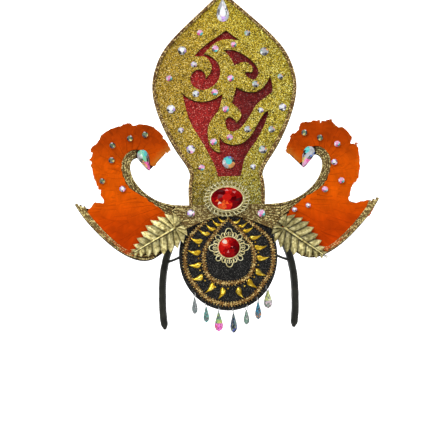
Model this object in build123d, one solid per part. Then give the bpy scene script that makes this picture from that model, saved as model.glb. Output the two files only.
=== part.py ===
from build123d import *
import math
import os

os.makedirs("parts", exist_ok=True)

# The flat front: crest, disc and winged collar are foam layers glued on each other. They
# share one plane, which leans back from upright and meets the headband's front edge.
LEAN = 15.0
GLUE = 0.3
BACKING_THICK = 2.0
PANEL_THICK = 4.0
DISC_THICK = 4.0
BOARD_THICK = 3.0
BRAID_THICK = 2.4

# Crest, measured from the level where the collar crosses its neck
CREST_BASE = 9.0
CREST_TALL = 259.0
CREST_HALF = 81.0
CREST_TAB = 16.0
BACKING_INSET = 1.5
CREST_BRAID_WIDE = 4.4

# Forehead disc
DISC_WIDE = 108.0
DISC_TALL = 122.0
DISC_CENTRE = -40.5
DISC_TOP = 10.0
DISC_BRAID_WIDE = 5.0
FOIL_LONG = 14.0
FOIL_WIDE = 6.0
FOIL_THICK = 1.2

# Winged collar
WING_HALF = 168.0
WING_FOOT = -45.0
WING_RISE = 151.0
RIM_BRAID_WIDE = 5.0
COLLAR_BRAID_HALF = 58.0
FEATHER_WIDE = 13.5
FEATHER_ROOT_SHARE = 0.44
FEATHER_MAIN_SHARE = 0.93
FEATHER_BACKING = 1.0
FEATHER_CUT_BACK = 20.0
FEATHER_LAYER = 1.1

# Stones: height of the small ones, and the share of a stone's width left at its table
STONE_HIGH = 2.6
STONE_TABLE = 0.55
STONE_GIRDLE = 1.0

# Settings and gems
OVAL_CENTRE = 22.0
OVAL_WIDE = 51.5
OVAL_TALL = 42.0
OVAL_GEM_WIDE = 35.0
OVAL_GEM_TALL = 25.5
OVAL_GEM_HIGH = 6.5
OVAL_BARS = 30
OVAL_RIM = 1.7
OVAL_SLOT_SHARE = 0.58
SETTING_THICK = 1.6
DISC_GEM_WIDE = 23.5
DISC_GEM_HIGH = 6.0
DISC_GEM_CENTRE = -32.0
DISC_GEM_ASIDE = 1.2
FILIGREE_REACH = 22.4
FILIGREE_WIRE = 1.5
FILIGREE_LOOP = 3.2
FILIGREE_LOOP_TURNS = (22, 45, 68)
FLEUR_HALF = 4.3
FLEUR_SHOULDER = 5.5
FLEUR_EYE_OUT = 4.4
FLEUR_EYE_ASIDE = 1.9
FLEUR_EYE_LONG = 4.6
FLEUR_EYE_WIDE = 2.0

# Stamped leaves
LEAF_LONG = 58.0
LEAF_STEM = -3.0
LEAF_THICK = 1.2
LEAF_NOTCH = 2.6
LEAF_TURN = -33.5
LEAF_ROOT_X = 62.0
LEAF_ROOT_UP = -12.0
RIB_HALF = 1.1
VEIN_HALF = 0.6
VEIN_HIGH = 0.8
VEIN_REACH = 0.86
VEIN_SWEEP = 0.45

# Headband, its arch in the upright plane through the seat on the head
BAND_HALF = 78.5
BAND_DROP = 122.0
BAND_THICK = 8.5
BAND_FRONT = 18.0
BAND_WIDE = 36.0
BAND_TIP_WIDE = 20.0
BAND_TIP_BACK = 26.0
BAND_LEAN_DROP = 8.0
BAND_MID_BACK = 10.0
BAND_MID_SPARE = 6.0
BRACE_THICK = 1.6
BRACE_TALL = 3.0
BRACE_FRONT_DROP = 33.0
BRACE_BACK_DROP = 46.0
BRACE_INSET = 12.0

# Jump rings and drops along the disc's lower edge
RING_RADIUS = 3.2
RING_WIRE = 0.45
RING_PLAY = 0.3
RING_INSET = 2.3
DROP_HOLE_IN = 1.65
DROP_TOP_HALF = 0.9
DROP_THICK_SHARE = 0.55
DROP_EDGE_SHARE = 0.5

# Depths of the layers, counted forwards from the back of the crest's backing
PANEL_BACK = BACKING_THICK
PANEL_FRONT = PANEL_BACK + PANEL_THICK
DISC_FRONT = PANEL_FRONT + DISC_THICK
BOARD_FRONT = DISC_FRONT + BOARD_THICK
BRAID_FRONT = BOARD_FRONT + BRAID_THICK
FEATHER_TOP = BOARD_FRONT + FEATHER_BACKING + 3 * FEATHER_LAYER
LEAF_BACK = FEATHER_TOP + GLUE

# The front plane stands clear of the band's front edge at the top of the arch
LEAN_SLOPE = math.tan(math.radians(LEAN))
SEAT_BACK = BAND_FRONT + BAND_THICK * LEAN_SLOPE + GLUE / math.cos(math.radians(LEAN))
SEAT = Pos(0, -SEAT_BACK, 0) * Rot(-LEAN, 0, 0)

# Half outline of the crest from its neck to its tip: (height, half width) in hundredths
CREST_NECK = [(-5, 50), (5, 52), (12.5, 52), (16.8, 49.5)]
CREST_SIDE = [(16.8, 49.5), (20, 52.5), (25.4, 63), (36.2, 82), (47, 95), (57, 100),
              (67, 93.5), (74.2, 82), (81.5, 62.5), (89, 38), (96, 14.5), (100, 0)]

# Scrolls cut through the crest: (across, height) in hundredths. Each scroll is a ring of
# smooth curves, and each curve starts where the one before it ends.
SCROLLS = [
    [[(-25.7, 75.6), (-10.6, 79), (4, 82.3)],
     [(12, 80.2), (23.6, 77.4)],
     [(13, 78), (-5, 77.6), (-14, 75.9), (-27.4, 71.6)],
     [(-18.5, 70.6), (-11, 68.6), (-6, 65.6), (-5.5, 62), (-9.7, 58.7), (-18, 56.4),
      (-28.5, 55.2), (-39, 56), (-46, 58.5), (-46.8, 61), (-43, 63.4), (-35.4, 64.6),
      (-29.4, 63.8), (-26, 60.4)],
     [(-20.6, 62.3), (-17, 64.7), (-18, 67), (-22.3, 69.4), (-28, 70.6)],
     [(-41.6, 70.6)]],
    [[(11.5, 73.3), (23.2, 71.9), (35, 69.3), (43.8, 66.2), (48, 62.8), (46.4, 60.8),
      (41.8, 59.5), (34.4, 60.2), (28.7, 62.4)],
     [(33.1, 63.1), (38.3, 62.9), (39.9, 64.3), (37.8, 65.8), (31.9, 67.3), (23.7, 67.3),
      (14.7, 65.8)],
     [(11.2, 68.4), (6.1, 71.1), (0.2, 73)]],
    [[(25.1, 54.6), (35.5, 53.8), (46, 54.2), (55.1, 56.4), (63.2, 61.2)],
     [(65.7, 58.2), (66.5, 53.8)],
     [(51.7, 50.2), (42.6, 47.6), (36.4, 44.2), (29.5, 40.8), (22.6, 38.1), (16.6, 36.7),
      (9.1, 36.1), (3.1, 37.1), (0.4, 39.5), (0.9, 41.7), (5, 42.8), (10.2, 42.3),
      (15.3, 40.1)],
     [(19.8, 41.6), (22.2, 43.5), (20.8, 45.3), (15.7, 47.3), (9.9, 49)],
     [(13, 52.2), (16.3, 56.3)]],
    [[(-49.6, 51.6), (-39.2, 50.2), (-27.4, 49.9), (-15.4, 50.9), (-2.6, 53.4)],
     [(-5, 49.4), (-9.7, 45.5), (-18.9, 41.6), (-23.6, 38.2), (-23.9, 33.8),
      (-21.1, 29.8), (-15.4, 27.9), (-8, 26.8)],
     [(-8.5, 29.8), (-8.2, 34.4)],
     [(-4.6, 32.2), (2.7, 30.7), (11.6, 30.1), (20.6, 30.6), (29.6, 32.4), (37.4, 35.3),
      (45.1, 39.7), (60.6, 45.6)],
     [(57.9, 42.1), (50.8, 36.7), (40, 30.9), (25.4, 23.6), (22.2, 19.7), (19.4, 16.1)],
     [(-12, 16.1)],
     [(-15.8, 21), (-22.9, 25.9), (-34.4, 32.9), (-46, 39.3), (-53, 45.8),
      (-58.7, 54.1)]],
]

# Stones on the gold: (across, height) in hundredths of the crest, then the width in mm
CREST_STONES = [
    (-32.3, 81.3, 7.2), (33.7, 80.8, 7.2), (-57.6, 73.3, 10.0), (-11.5, 73.8, 8.0),
    (14.1, 75.6, 6.6), (56.5, 72.1, 10.0), (-41.5, 66.8, 7.2), (-76.2, 60.7, 7.2),
    (9, 60.2, 7.7), (43.2, 57.3, 8.0), (77.8, 60.6, 6.6), (-39.6, 53.4, 8.0),
    (-13.4, 54, 7.7), (-74.4, 46.7, 10.0), (1.2, 46.2, 7.7), (49.3, 45.4, 6.6),
    (79.6, 46.5, 8.8), (-61.2, 37.1, 6.6), (30.9, 36.9, 8.0), (63.9, 36.7, 8.0),
    (5.9, 33.5, 7.2), (-16.5, 31.6, 8.0), (-48, 28.4, 10.0), (50.9, 27.7, 9.6),
    (-33.4, 20.2, 7.2), (36.7, 20.1, 6.4)]
LARGE_STONE = (3.8, 22.6, 14.5)
TOP_STONE_WIDE = 14.0
TOP_STONE_LONG = 28.0
TOP_STONE_UP = 91.6

# Half outline of the winged collar: (across, height) in hundredths of its half width and
# rise. The curves run from the centre's top, out round the curl and tip, to the centre's foot.
WING_TOP = [(0, 40.7), (25, 40.7)]
WING_CURL = [(25, 40.7), (34.5, 41.2), (44, 44), (52.4, 49.7), (59.8, 58.9), (63.1, 68.9),
             (61.9, 75.8), (58.6, 77.8)]
WING_HOOK = [(58.6, 77.8), (54.8, 72.2), (50.9, 67.9)]
WING_HOOK_END = [(50.9, 67.9), (40.5, 80.1)]
WING_CROWN = [(40.5, 80.1), (47.6, 94.7), (56, 99.3), (65.5, 100), (73.8, 95.4),
              (80.4, 88.1), (85.1, 78.1), (85.7, 68.9), (82.7, 58.9), (78, 50.3),
              (76.2, 44.4)]
WING_TIP = [(76.2, 44.4), (83.3, 40.4), (92.3, 40.1), (100, 43.7)]
WING_RIM = [(100, 43.7), (93.2, 31.8), (83.9, 19.9), (75, 10.6), (67.3, 4.6), (55.7, 0),
            (48.5, 1.3)]
WING_INNER = [(48.5, 1.3), (39.3, 8.6), (29.8, 21.2)]
WING_ARCH = [(29.8, 21.2), (14.3, 29.1), (0, 32.5)]
WING_CURVES = [WING_TOP, WING_CURL, WING_HOOK, WING_HOOK_END, WING_CROWN, WING_TIP,
               WING_RIM, WING_INNER, WING_ARCH]

# Outer edge of the curl's braid, from the collar out to the pear stone
CURL_BRAID_EDGE = [(34.8, 27), (38.5, 32.5), (45.6, 37.3), (52.4, 41), (59.4, 46.6),
                   (65, 54.5), (69.2, 64), (70, 73), (67.5, 80.2), (63.5, 83.6),
                   (59.3, 84.3)]
CURL_BRAID_INNER = [(34.8, 41.3), (44, 44), (52.4, 49.7), (59.8, 58.9), (63.1, 68.9),
                    (62.1, 75.5), (59.7, 77.6)]

# Lines that the feathers follow round the wing: (root across, root height, tip across, tip
# height) in hundredths of the wing
FEATHER_ROWS = [
    (50.5, 71, 38, 79.5), (52, 76.5, 39, 85.5), (54.5, 82.5, 43, 93.5),
    (58, 86, 49.5, 100.5), (61.5, 86.5, 58, 103.5), (65, 85, 66.5, 104),
    (68, 82, 75, 99.5), (70.5, 78, 83, 91), (71.5, 72, 88.5, 80.5), (71, 66, 89.5, 70),
    (69.5, 60, 87.5, 59), (66.5, 53.5, 83.5, 50.5), (62.5, 48, 80.5, 43.5),
    (58, 43.5, 88, 39.5), (53, 39.5, 90, 34), (48, 36.5, 83, 22.5), (43.5, 33, 74.5, 13.5),
    (40.5, 28, 66, 7.5), (38.5, 22, 56.5, 3.5), (37.5, 16, 50, 4.5)]

# Layers of feathers, back one first: (pitch, first and last place, counted in the lines
# above, reach towards the tips and how much shorter each second one is, in hundredths)
FEATHER_LAYERS = [(0.5, 0, 19, 100, 6), (0.875, 0.5, 18, 74, 8), (1, 1, 17, 45, 6)]

# Stones on the wings and on the collar: (across, height) in hundredths, width in mm. They
# were set by eye, so the two sides differ, and the right one has two more.
WING_STONES = {
    "right": [(52, 93.3, 7.0), (62.2, 89.2, 7.0), (73.4, 84.2, 7.0), (71.1, 70.3, 7.0),
              (75.3, 56.3, 7.0), (64.3, 49.8, 7.0), (53, 38, 5.6), (44, 35, 5.6)],
    "left": [(53, 94.5, 7.0), (63.1, 91.6, 7.0), (74.6, 86.5, 7.0), (75.3, 75.2, 7.0),
             (81.5, 59.7, 6.6), (68.2, 53.2, 7.0)]}
COLLAR_STONES = {"right": (22.3, 33.1, 8.6), "left": (23.7, 34.2, 8.6)}
CURL_STONE_WIDE = 12.5
CURL_STONE_LONG = 26.0
CURL_STONE_PLACE = (53.3, 75.2)
CURL_STONE_TURN = -115.0

# Braids on the disc, right halves from the top down: (across, height) in hundredths of the
# disc's half width and half height, from its centre
OUTER_BRAID = [(15, 79), (33, 69.5), (62.4, 48.9), (82.4, 31.1), (90, 8.7), (88.5, -24),
               (73.3, -48.2), (48.1, -76.2), (24, -86.5), (0, -90.5)]
INNER_BRAID = [(0, 68), (13, 56), (32, 38), (49, 18), (52.5, -5), (45, -34), (25, -48),
               (0, -52)]

# Foil leaves: place on the disc as for the braids, then the way the tip points in degrees
FOIL_LEAVES = [
    (-20, 65, 160), (-30, 57, 160), (-41, 49, 162), (-52, 41, 168), (-63, 28, 176),
    (-68, 8, 184), (-68, -17, 198), (-62, -41, 214), (-38, -60, 240), (-14, -70, 260),
    (22, -70, 284), (47, -55, 305), (64, -35, 322), (69, -7, 350), (67, 14, 354),
    (61, 31, 4), (49, 44, 12), (38, 53, 15), (26, 62, 18)]

# Sides of a foil leaf from its round end to its tip: (along, across) in hundredths of its
# length and width
FOIL_UPPER = [(-50, 0), (-25, 60), (17, 35), (50, -25)]
FOIL_LOWER = [(50, -25), (0, -42), (-37, -40), (-50, 0)]

# Drops: the ring hole's place across the disc in hundredths of its half width, the drop's
# length and width in mm, and the turn of the ring about the plumb line in degrees
DROPS = [(-73, 19, 6.5, 15), (-49, 17.5, 7, -20), (-23, 22, 9.5, 10), (8.5, 22.5, 8, -12),
         (36, 17.5, 7, 25), (61, 20, 7.5, -15), (82, 21, 11, -34)]

# Teeth along one side of a stamped leaf, from its base: (along the rib, out from it) in mm
LEAF_TEETH = [(-8, 7), (-6, 14.5), (1, 18.5), (9, 20.5), (17, 21), (25, 19), (33, 15.5),
              (41, 11.5), (48.5, 7), (54, 3.5)]

# Arch of the headband's outside: (half width, drop from the top) in hundredths
BAND_ARCH = [(-30, 1.5), (0, 0), (30, 1.5), (62, 9), (80, 18.5), (90.5, 31.5), (97, 47),
             (99.5, 62), (100, 80), (99, 90), (97, 97)]


def curve(points):
    """A smooth edge through points, or a straight one between two."""
    if len(points) == 2:
        return Line(*points)
    return Spline(*points)


def face_of(*curves):
    """A flat face closed by curves that follow each other corner to corner."""
    return make_face([curve(points) for points in curves])


def polygon(points):
    """A flat face with straight sides through points."""
    return make_face(Polyline(*points, close=True))


def layer(face, back, thick):
    """A layer of the front, its back lying back mm before the rear of the backing."""
    return SEAT * extrude(Pos(0, -back, 0) * (Plane.XZ * face), thick, dir=(0, -1, 0))


def both(face):
    """A right half with its mirror image, as one face."""
    return face + mirror(face, about=Plane.YZ)


def save(name, shape):
    export_step(shape, "parts/" + name + ".step")


def save_pair(name, shape):
    """Write a right piece and its mirror image, the left one."""
    save(name + "_right", shape)
    save(name + "_left", mirror(shape, about=Plane.YZ))


def crest_point(across, height):
    return (across / 100 * CREST_HALF, CREST_BASE + height / 100 * CREST_TALL)


def wing_point(across, height):
    return (across / 100 * WING_HALF, WING_FOOT + height / 100 * WING_RISE)


def disc_point(across, height):
    return (across / 100 * DISC_WIDE / 2, DISC_CENTRE + height / 100 * DISC_TALL / 2)


def along(edge, share, aside=0.0):
    """The point at a share of an edge's length, moved aside to its left."""
    spot = edge @ share
    way = edge % share
    return (spot.X - way.Y * aside, spot.Y + way.X * aside)


def ribbon(points, left, right, steps=16):
    """A band that follows a smooth line, reaching left and right of it."""
    edge = curve(points)
    shares = [step / steps for step in range(steps + 1)]
    near = [along(edge, share, left) for share in shares]
    far = [along(edge, share, -right) for share in reversed(shares)]
    return face_of(near, [near[-1], far[0]], far, [far[-1], near[0]])


def right_half(face, reach=400):
    """The part of a face to the right of the centre line."""
    return face & Pos(reach / 2, 0) * Rectangle(reach, 2 * reach)


def crest_outline(inset=0.0):
    """The crest's face, or one whose sides lie further in by the inset."""
    shrink = (CREST_HALF - inset) / CREST_HALF
    neck = [crest_point(half * shrink, height) for height, half in CREST_NECK]
    side = [crest_point(half * shrink, height) for height, half in CREST_SIDE]
    foot = (neck[0][0], CREST_BASE - CREST_TAB)
    half = face_of([(0, foot[1]), foot], [foot, neck[0]], neck, side,
                   [side[-1], (0, foot[1])])
    return both(half)


def scroll_faces():
    """The four scrolls that are cut through the crest."""
    faces = []
    for scroll in SCROLLS:
        corner = scroll[-1][-1]
        curves = []
        for stretch in scroll:
            spots = [crest_point(*spot) for spot in [corner] + stretch]
            curves.append(spots)
            corner = stretch[-1]
        faces.append(face_of(*curves))
    return faces


def make_crest():
    backing = crest_outline(BACKING_INSET)
    save("crest_backing", layer(backing, 0, BACKING_THICK))
    panel = crest_outline()
    for scroll in scroll_faces():
        panel -= scroll
    save("crest_panel", layer(panel, PANEL_BACK, PANEL_THICK))
    rim = [crest_point(half, height) for height, half in CREST_SIDE]
    neck = [crest_point(half, height) for height, half in CREST_NECK[2:]]
    top_of_collar = wing_point(0, WING_TOP[0][1])[1] + GLUE
    neck = [(neck[0][0], top_of_collar)] + neck
    waist = [along(curve(neck), 1), along(curve(neck), 1, CREST_BRAID_WIDE),
             along(curve(rim), 0, CREST_BRAID_WIDE)]
    edging = ribbon(neck, CREST_BRAID_WIDE, 0, steps=4)
    edging += [ribbon(rim, CREST_BRAID_WIDE, 0, steps=24), polygon(waist)]
    save("crest_braid", layer(both(right_half(edging)), PANEL_FRONT, BRAID_THICK))


def round_points(wide, tall, sides, x=0.0, up=0.0):
    """The corners of a regular polygon stretched to a width and a height."""
    turns = [2 * math.pi * (side + 0.5) / sides for side in range(sides)]
    return [(x + wide / 2 * math.cos(turn), up + tall / 2 * math.sin(turn))
            for turn in turns]


def pear_points(wide, long, sides=12, power=1.3):
    """A pear outline about its middle, with its point at the top."""
    turns = [2 * math.pi * side / sides for side in range(sides)]
    across = [math.sin(turn) * math.sin(turn / 2) ** power for turn in turns]
    return [(wide / 2 * out / max(across), long / 2 * math.cos(turn))
            for out, turn in zip(across, turns)]


def shrunk(points, share, middle):
    return [(middle[0] + share * (x - middle[0]), middle[1] + share * (up - middle[1]))
            for x, up in points]


def cut_stone(points, middle, back, tiers):
    """A flat-backed faceted stone. Each tier is a height and the share left of its outline."""
    sections = [Pos(0, -back, 0) * (Plane.XZ * polygon(points))]
    for high, share in tiers:
        ring = polygon(shrunk(points, share, middle))
        sections.append(Pos(0, -back - high, 0) * (Plane.XZ * ring))
    return loft(sections, ruled=True)


def round_stone(x, up, wide, back, high=STONE_HIGH, sides=8):
    points = round_points(wide, wide, sides, x, up)
    return SEAT * cut_stone(points, (x, up), back, [(high, STONE_TABLE)])


def make_crest_stones():
    stones = [round_stone(*crest_point(across, height), wide, PANEL_FRONT)
              for across, height, wide in CREST_STONES]
    save("crest_stones", Compound(stones))
    across, height, wide = LARGE_STONE
    large = round_stone(*crest_point(across, height), wide, PANEL_BACK, 2 * STONE_HIGH, 12)
    save("crest_large_stone", large)
    x, up = crest_point(0, TOP_STONE_UP)
    points = [(x + px, up + pup) for px, pup in pear_points(TOP_STONE_WIDE, TOP_STONE_LONG)]
    low = (x, up - 0.15 * TOP_STONE_LONG)
    tiers = [(STONE_GIRDLE, 0.96), (1.3 * STONE_HIGH, STONE_TABLE)]
    top = cut_stone(points, low, PANEL_FRONT, tiers)
    save("crest_top_stone", SEAT * top)


def disc_outline():
    oval = Pos(0, DISC_CENTRE) * Ellipse(DISC_WIDE / 2, DISC_TALL / 2)
    cover = Pos(0, DISC_TOP - DISC_TALL) * Rectangle(2 * DISC_WIDE, 2 * DISC_TALL)
    return oval & cover


def half_braid(rows, wide):
    """Both halves of a braid ring on the disc, laid centred on its line."""
    line = [disc_point(*row) for row in rows]
    return both(right_half(ribbon(line, wide / 2, wide / 2, steps=20)))


def foil_leaf(across, height, turn):
    """A curved leaf of foil with its tip to the right, turned and placed on the disc."""
    wide = FOIL_WIDE if across > 0 else -FOIL_WIDE
    sides = [[(far / 100 * FOIL_LONG, out / 100 * wide) for far, out in side]
             for side in (FOIL_UPPER, FOIL_LOWER)]
    x, up = disc_point(across, height)
    return Pos(x, up) * Rot(0, 0, turn) * face_of(*sides)


def ring_place(across):
    """The hole of a jump ring, set in square to the disc's edge, in the disc's own plane."""
    share = across / 100
    drop = math.sqrt(1 - share ** 2)
    inward = (-share * DISC_TALL, drop * DISC_WIDE)
    step = RING_INSET / math.hypot(*inward)
    return (share * DISC_WIDE / 2 + inward[0] * step,
            DISC_CENTRE - drop * DISC_TALL / 2 + inward[1] * step)


def ring_at(across, turn, wire):
    """A jump ring, hanging upright from its hole with its plane turned about the plumb line."""
    hole_x, hole_up = ring_place(across)
    middle = (PANEL_FRONT + DISC_FRONT) / 2
    hole = (SEAT * Pos(hole_x, -middle, hole_up)).position
    hang = Pos(hole.X, hole.Y, hole.Z - RING_RADIUS) * Rot(0, 0, turn)
    return hang, hang * Rot(0, 90, 0) * Torus(RING_RADIUS, wire)


def make_drops(disc):
    """The disc pierced for its rings, and each ring with its drop."""
    hole_wire = RING_WIRE + RING_PLAY
    for number, (across, long, wide, turn) in enumerate(DROPS, start=1):
        hang, ring = ring_at(across, turn, RING_WIRE)
        save("drop_ring_%d" % number, ring)
        clearance = ring_at(across, turn, hole_wire)[1]
        disc -= clearance
        below = Pos(0, 0, -RING_RADIUS - long / 2 + DROP_HOLE_IN)
        save("drop_%d" % number, hang * below * drop_shape(wide, long) - clearance)
    return disc


def drop_shape(wide, long):
    """A pear drop cut to an edge all round, its two faces flat, blunt at the top."""
    outline = pear_points(wide - 2 * DROP_TOP_HALF, long, power=0.9)
    outline = [(px + math.copysign(DROP_TOP_HALF, px), pup) for px, pup in outline[1:]]
    table = polygon(shrunk(outline, DROP_EDGE_SHARE, (0, -0.15 * long)))
    half = wide * DROP_THICK_SHARE / 2
    sections = [Pos(0, half, 0) * (Plane.XZ * table), Plane.XZ * polygon(outline),
                Pos(0, -half, 0) * (Plane.XZ * table)]
    return loft(sections, ruled=True)


def make_disc():
    disc = make_drops(layer(disc_outline(), PANEL_FRONT, DISC_THICK))
    save("disc", disc)
    open_arch = face_of(*[[wing_point(*spot) for spot in WING_ARCH],
                          [wing_point(*WING_ARCH[-1]), (0, 4 * WING_FOOT)],
                          [(0, 4 * WING_FOOT), (WING_HALF, 4 * WING_FOOT)],
                          [(WING_HALF, 4 * WING_FOOT), wing_point(*WING_ARCH[0])]])
    shown = Pos(0, -GLUE) * both(open_arch)
    outer = half_braid(OUTER_BRAID, DISC_BRAID_WIDE) & shown
    inner = half_braid(INNER_BRAID, DISC_BRAID_WIDE) & shown
    save("disc_outer_braid", layer(outer, DISC_FRONT, BRAID_THICK))
    save("disc_inner_braid", layer(inner, DISC_FRONT, BRAID_THICK))
    room = DISC_BRAID_WIDE + 2 * GLUE
    braids = [half_braid(OUTER_BRAID, room), half_braid(INNER_BRAID, room)]
    foil = []
    for row in FOIL_LEAVES:
        leaf = (foil_leaf(*row) & shown) - braids
        widest = max(leaf.faces(), key=lambda face: face.area)
        foil.append(layer(widest, DISC_FRONT, FOIL_THICK))
    save("disc_foil_leaves", Compound(foil))


def filigree():
    """A pierced ring with a pointed fleur on each side and three loops between them."""
    seat = DISC_GEM_WIDE / 2
    plate = Circle(seat + FILIGREE_WIRE)
    shoulder, tip = seat + FLEUR_SHOULDER, (FILIGREE_REACH, 0)
    fleur = face_of([(seat, -FLEUR_HALF), (shoulder, -FLEUR_HALF), tip],
                    [tip, (shoulder, FLEUR_HALF), (seat, FLEUR_HALF)],
                    [(seat, FLEUR_HALF), (seat, -FLEUR_HALF)])
    holes = []
    for quarter in range(4):
        for turn in FILIGREE_LOOP_TURNS:
            out = seat + FILIGREE_WIRE / 2 + FILIGREE_LOOP
            spot = Rot(0, 0, 90 * quarter + turn) * Pos(out, 0)
            plate += spot * Circle(FILIGREE_LOOP)
            holes.append(spot * Circle(FILIGREE_LOOP - FILIGREE_WIRE))
        plate += Rot(0, 0, 90 * quarter) * fleur
        for side in (1, -1):
            eye = Pos(seat + FLEUR_EYE_OUT, side * FLEUR_EYE_ASIDE)
            eye *= Ellipse(FLEUR_EYE_LONG / 2, FLEUR_EYE_WIDE / 2)
            holes.append(Rot(0, 0, 90 * quarter) * eye)
    for hole in holes:
        plate -= hole
    return plate


def make_disc_gem():
    middle = (DISC_GEM_ASIDE, DISC_GEM_CENTRE)
    plate = Pos(*middle) * filigree()
    save("disc_setting", layer(plate, DISC_FRONT, SETTING_THICK))
    points = round_points(DISC_GEM_WIDE, DISC_GEM_WIDE, 12, *middle)
    tiers = [(1.2, 1.0), (0.65 * DISC_GEM_HIGH, 0.8), (DISC_GEM_HIGH, 0.45)]
    gem = cut_stone(points, middle, DISC_FRONT + SETTING_THICK, tiers)
    save("disc_gem", SEAT * gem)


def oval_plate():
    """An oval plate pierced by a ring of slots, with a bar between each two."""
    plate = Ellipse(OVAL_WIDE / 2, OVAL_TALL / 2)
    inner_wide, inner_tall = OVAL_GEM_WIDE / 2 + OVAL_RIM, OVAL_GEM_TALL / 2 + OVAL_RIM
    outer_wide, outer_tall = OVAL_WIDE / 2 - OVAL_RIM, OVAL_TALL / 2 - OVAL_RIM
    half = OVAL_SLOT_SHARE * math.pi / OVAL_BARS
    for bar in range(OVAL_BARS):
        turn = 2 * math.pi * (bar + 0.5) / OVAL_BARS
        corners = [(inner_wide, inner_tall, -half), (outer_wide, outer_tall, -half),
                   (outer_wide, outer_tall, half), (inner_wide, inner_tall, half)]
        plate -= polygon([(wide * math.cos(turn + off), tall * math.sin(turn + off))
                          for wide, tall, off in corners])
    return plate


def make_oval_gem():
    plate = Pos(0, OVAL_CENTRE) * oval_plate()
    save("oval_setting", layer(plate, BRAID_FRONT, SETTING_THICK))
    points = round_points(OVAL_GEM_WIDE, OVAL_GEM_TALL, 16, 0, OVAL_CENTRE)
    tiers = [(1.4, 1.0), (0.7 * OVAL_GEM_HIGH, 0.78), (OVAL_GEM_HIGH, 0.42)]
    gem = cut_stone(points, (0, OVAL_CENTRE), BRAID_FRONT + SETTING_THICK, tiers)
    save("oval_gem", SEAT * gem)


def half_board():
    """The outline of the board's right half."""
    curves = [[wing_point(*spot) for spot in rows] for rows in WING_CURVES]
    return face_of(*curves, [curves[-1][-1], curves[0][0]])


def make_board():
    save("wing_board", layer(both(half_board()), DISC_FRONT, BOARD_THICK))


def make_board_braids():
    half = half_board()
    foot = wing_point(0, WING_INNER[2][1])[1]
    cover = Pos(0, foot + WING_RISE / 2) * Rectangle(2 * COLLAR_BRAID_HALF, WING_RISE)
    save("collar_braid", layer(both(half) & cover, BOARD_FRONT, BRAID_THICK))
    save_pair("curl_braid", layer(curl_face(), BOARD_FRONT, BRAID_THICK))
    rim = [wing_point(*spot) for spot in WING_RIM]
    edging = ribbon(rim, 0, RIM_BRAID_WIDE, steps=12) & half
    save_pair("rim_braid", layer(edging, BOARD_FRONT, BRAID_THICK))


def between_rows(rows, place):
    """A row at a place counted in rows, blended from its two neighbours."""
    low = min(int(place), len(rows) - 2)
    share = place - low
    return [a + share * (b - a) for a, b in zip(rows[low], rows[low + 1])]


def feather(root, tip, wide):
    """A flat feather from its root to its rounded tip."""
    length = math.dist(root, tip)
    turn = math.degrees(math.atan2(tip[1] - root[1], tip[0] - root[0]))
    blunt = min(wide / 2, 0.4 * length)
    root_half, main_half = wide / 2 * FEATHER_ROOT_SHARE, wide / 2 * FEATHER_MAIN_SHARE
    left = [(0, root_half), (0.45 * length, main_half), (length - blunt, main_half)]
    right = [(x, -up) for x, up in reversed(left)]
    end = ThreePointArc(left[-1], (length, 0), right[0])
    blade = make_face([Spline(*left), end, Spline(*right), Line(right[-1], left[0])])
    return Pos(*root) * Rot(0, 0, turn) * blade


def feather_row(pitch, first, last, reach, stagger):
    """One layer of overlapping feathers, each reaching a share of the way to its tip."""
    faces = []
    count = int((last - first) / pitch) + 1
    for number in range(count):
        place = first + number * pitch
        row = between_rows(FEATHER_ROWS, place)
        root, tip = wing_point(*row[:2]), wing_point(*row[2:])
        share = (reach - stagger * (number % 2)) / 100
        end = tuple(a + share * (b - a) for a, b in zip(root, tip))
        faces.append(feather(root, end, FEATHER_WIDE))
    return faces


def curl_face(spare=0.0):
    """The curl's braid from the collar to the pear stone, wider outside by the spare."""
    outer = [wing_point(*spot) for spot in CURL_BRAID_EDGE]
    inner = [wing_point(*spot) for spot in CURL_BRAID_INNER]
    face = face_of(outer, [outer[-1], inner[-1]], inner[::-1], [inner[0], outer[0]])
    return face + ribbon(outer, spare, spare) if spare else face


def curl_stone_points(wide, long):
    """The outline of the pear stone at the curl's end, and its middle."""
    x, up = wing_point(*CURL_STONE_PLACE)
    turn = math.radians(CURL_STONE_TURN - 90)
    points = [(x + px * math.cos(turn) - pup * math.sin(turn),
               up + px * math.sin(turn) + pup * math.cos(turn))
              for px, pup in pear_points(wide, long)]
    return points, (x, up)


def feather_layers():
    """The flat outlines of the layers of feathers, from the back one to the front one."""
    rows = [feather_row(*row) for row in FEATHER_LAYERS]
    rim = [wing_point(*spot) for spot in WING_RIM]
    points, middle = curl_stone_points(CURL_STONE_WIDE + 2 * GLUE, CURL_STONE_LONG + 2 * GLUE)
    cover = Rectangle(2 * (COLLAR_BRAID_HALF + GLUE), 4 * WING_RISE)
    cuts = [curl_face(GLUE), ribbon(rim, FEATHER_CUT_BACK, RIM_BRAID_WIDE + GLUE, steps=12),
            polygon(points), cover]
    return [row[0] + row[1:] - cuts for row in rows]


def feather_depth(layers):
    return BOARD_FRONT + FEATHER_BACKING + layers * FEATHER_LAYER


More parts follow.
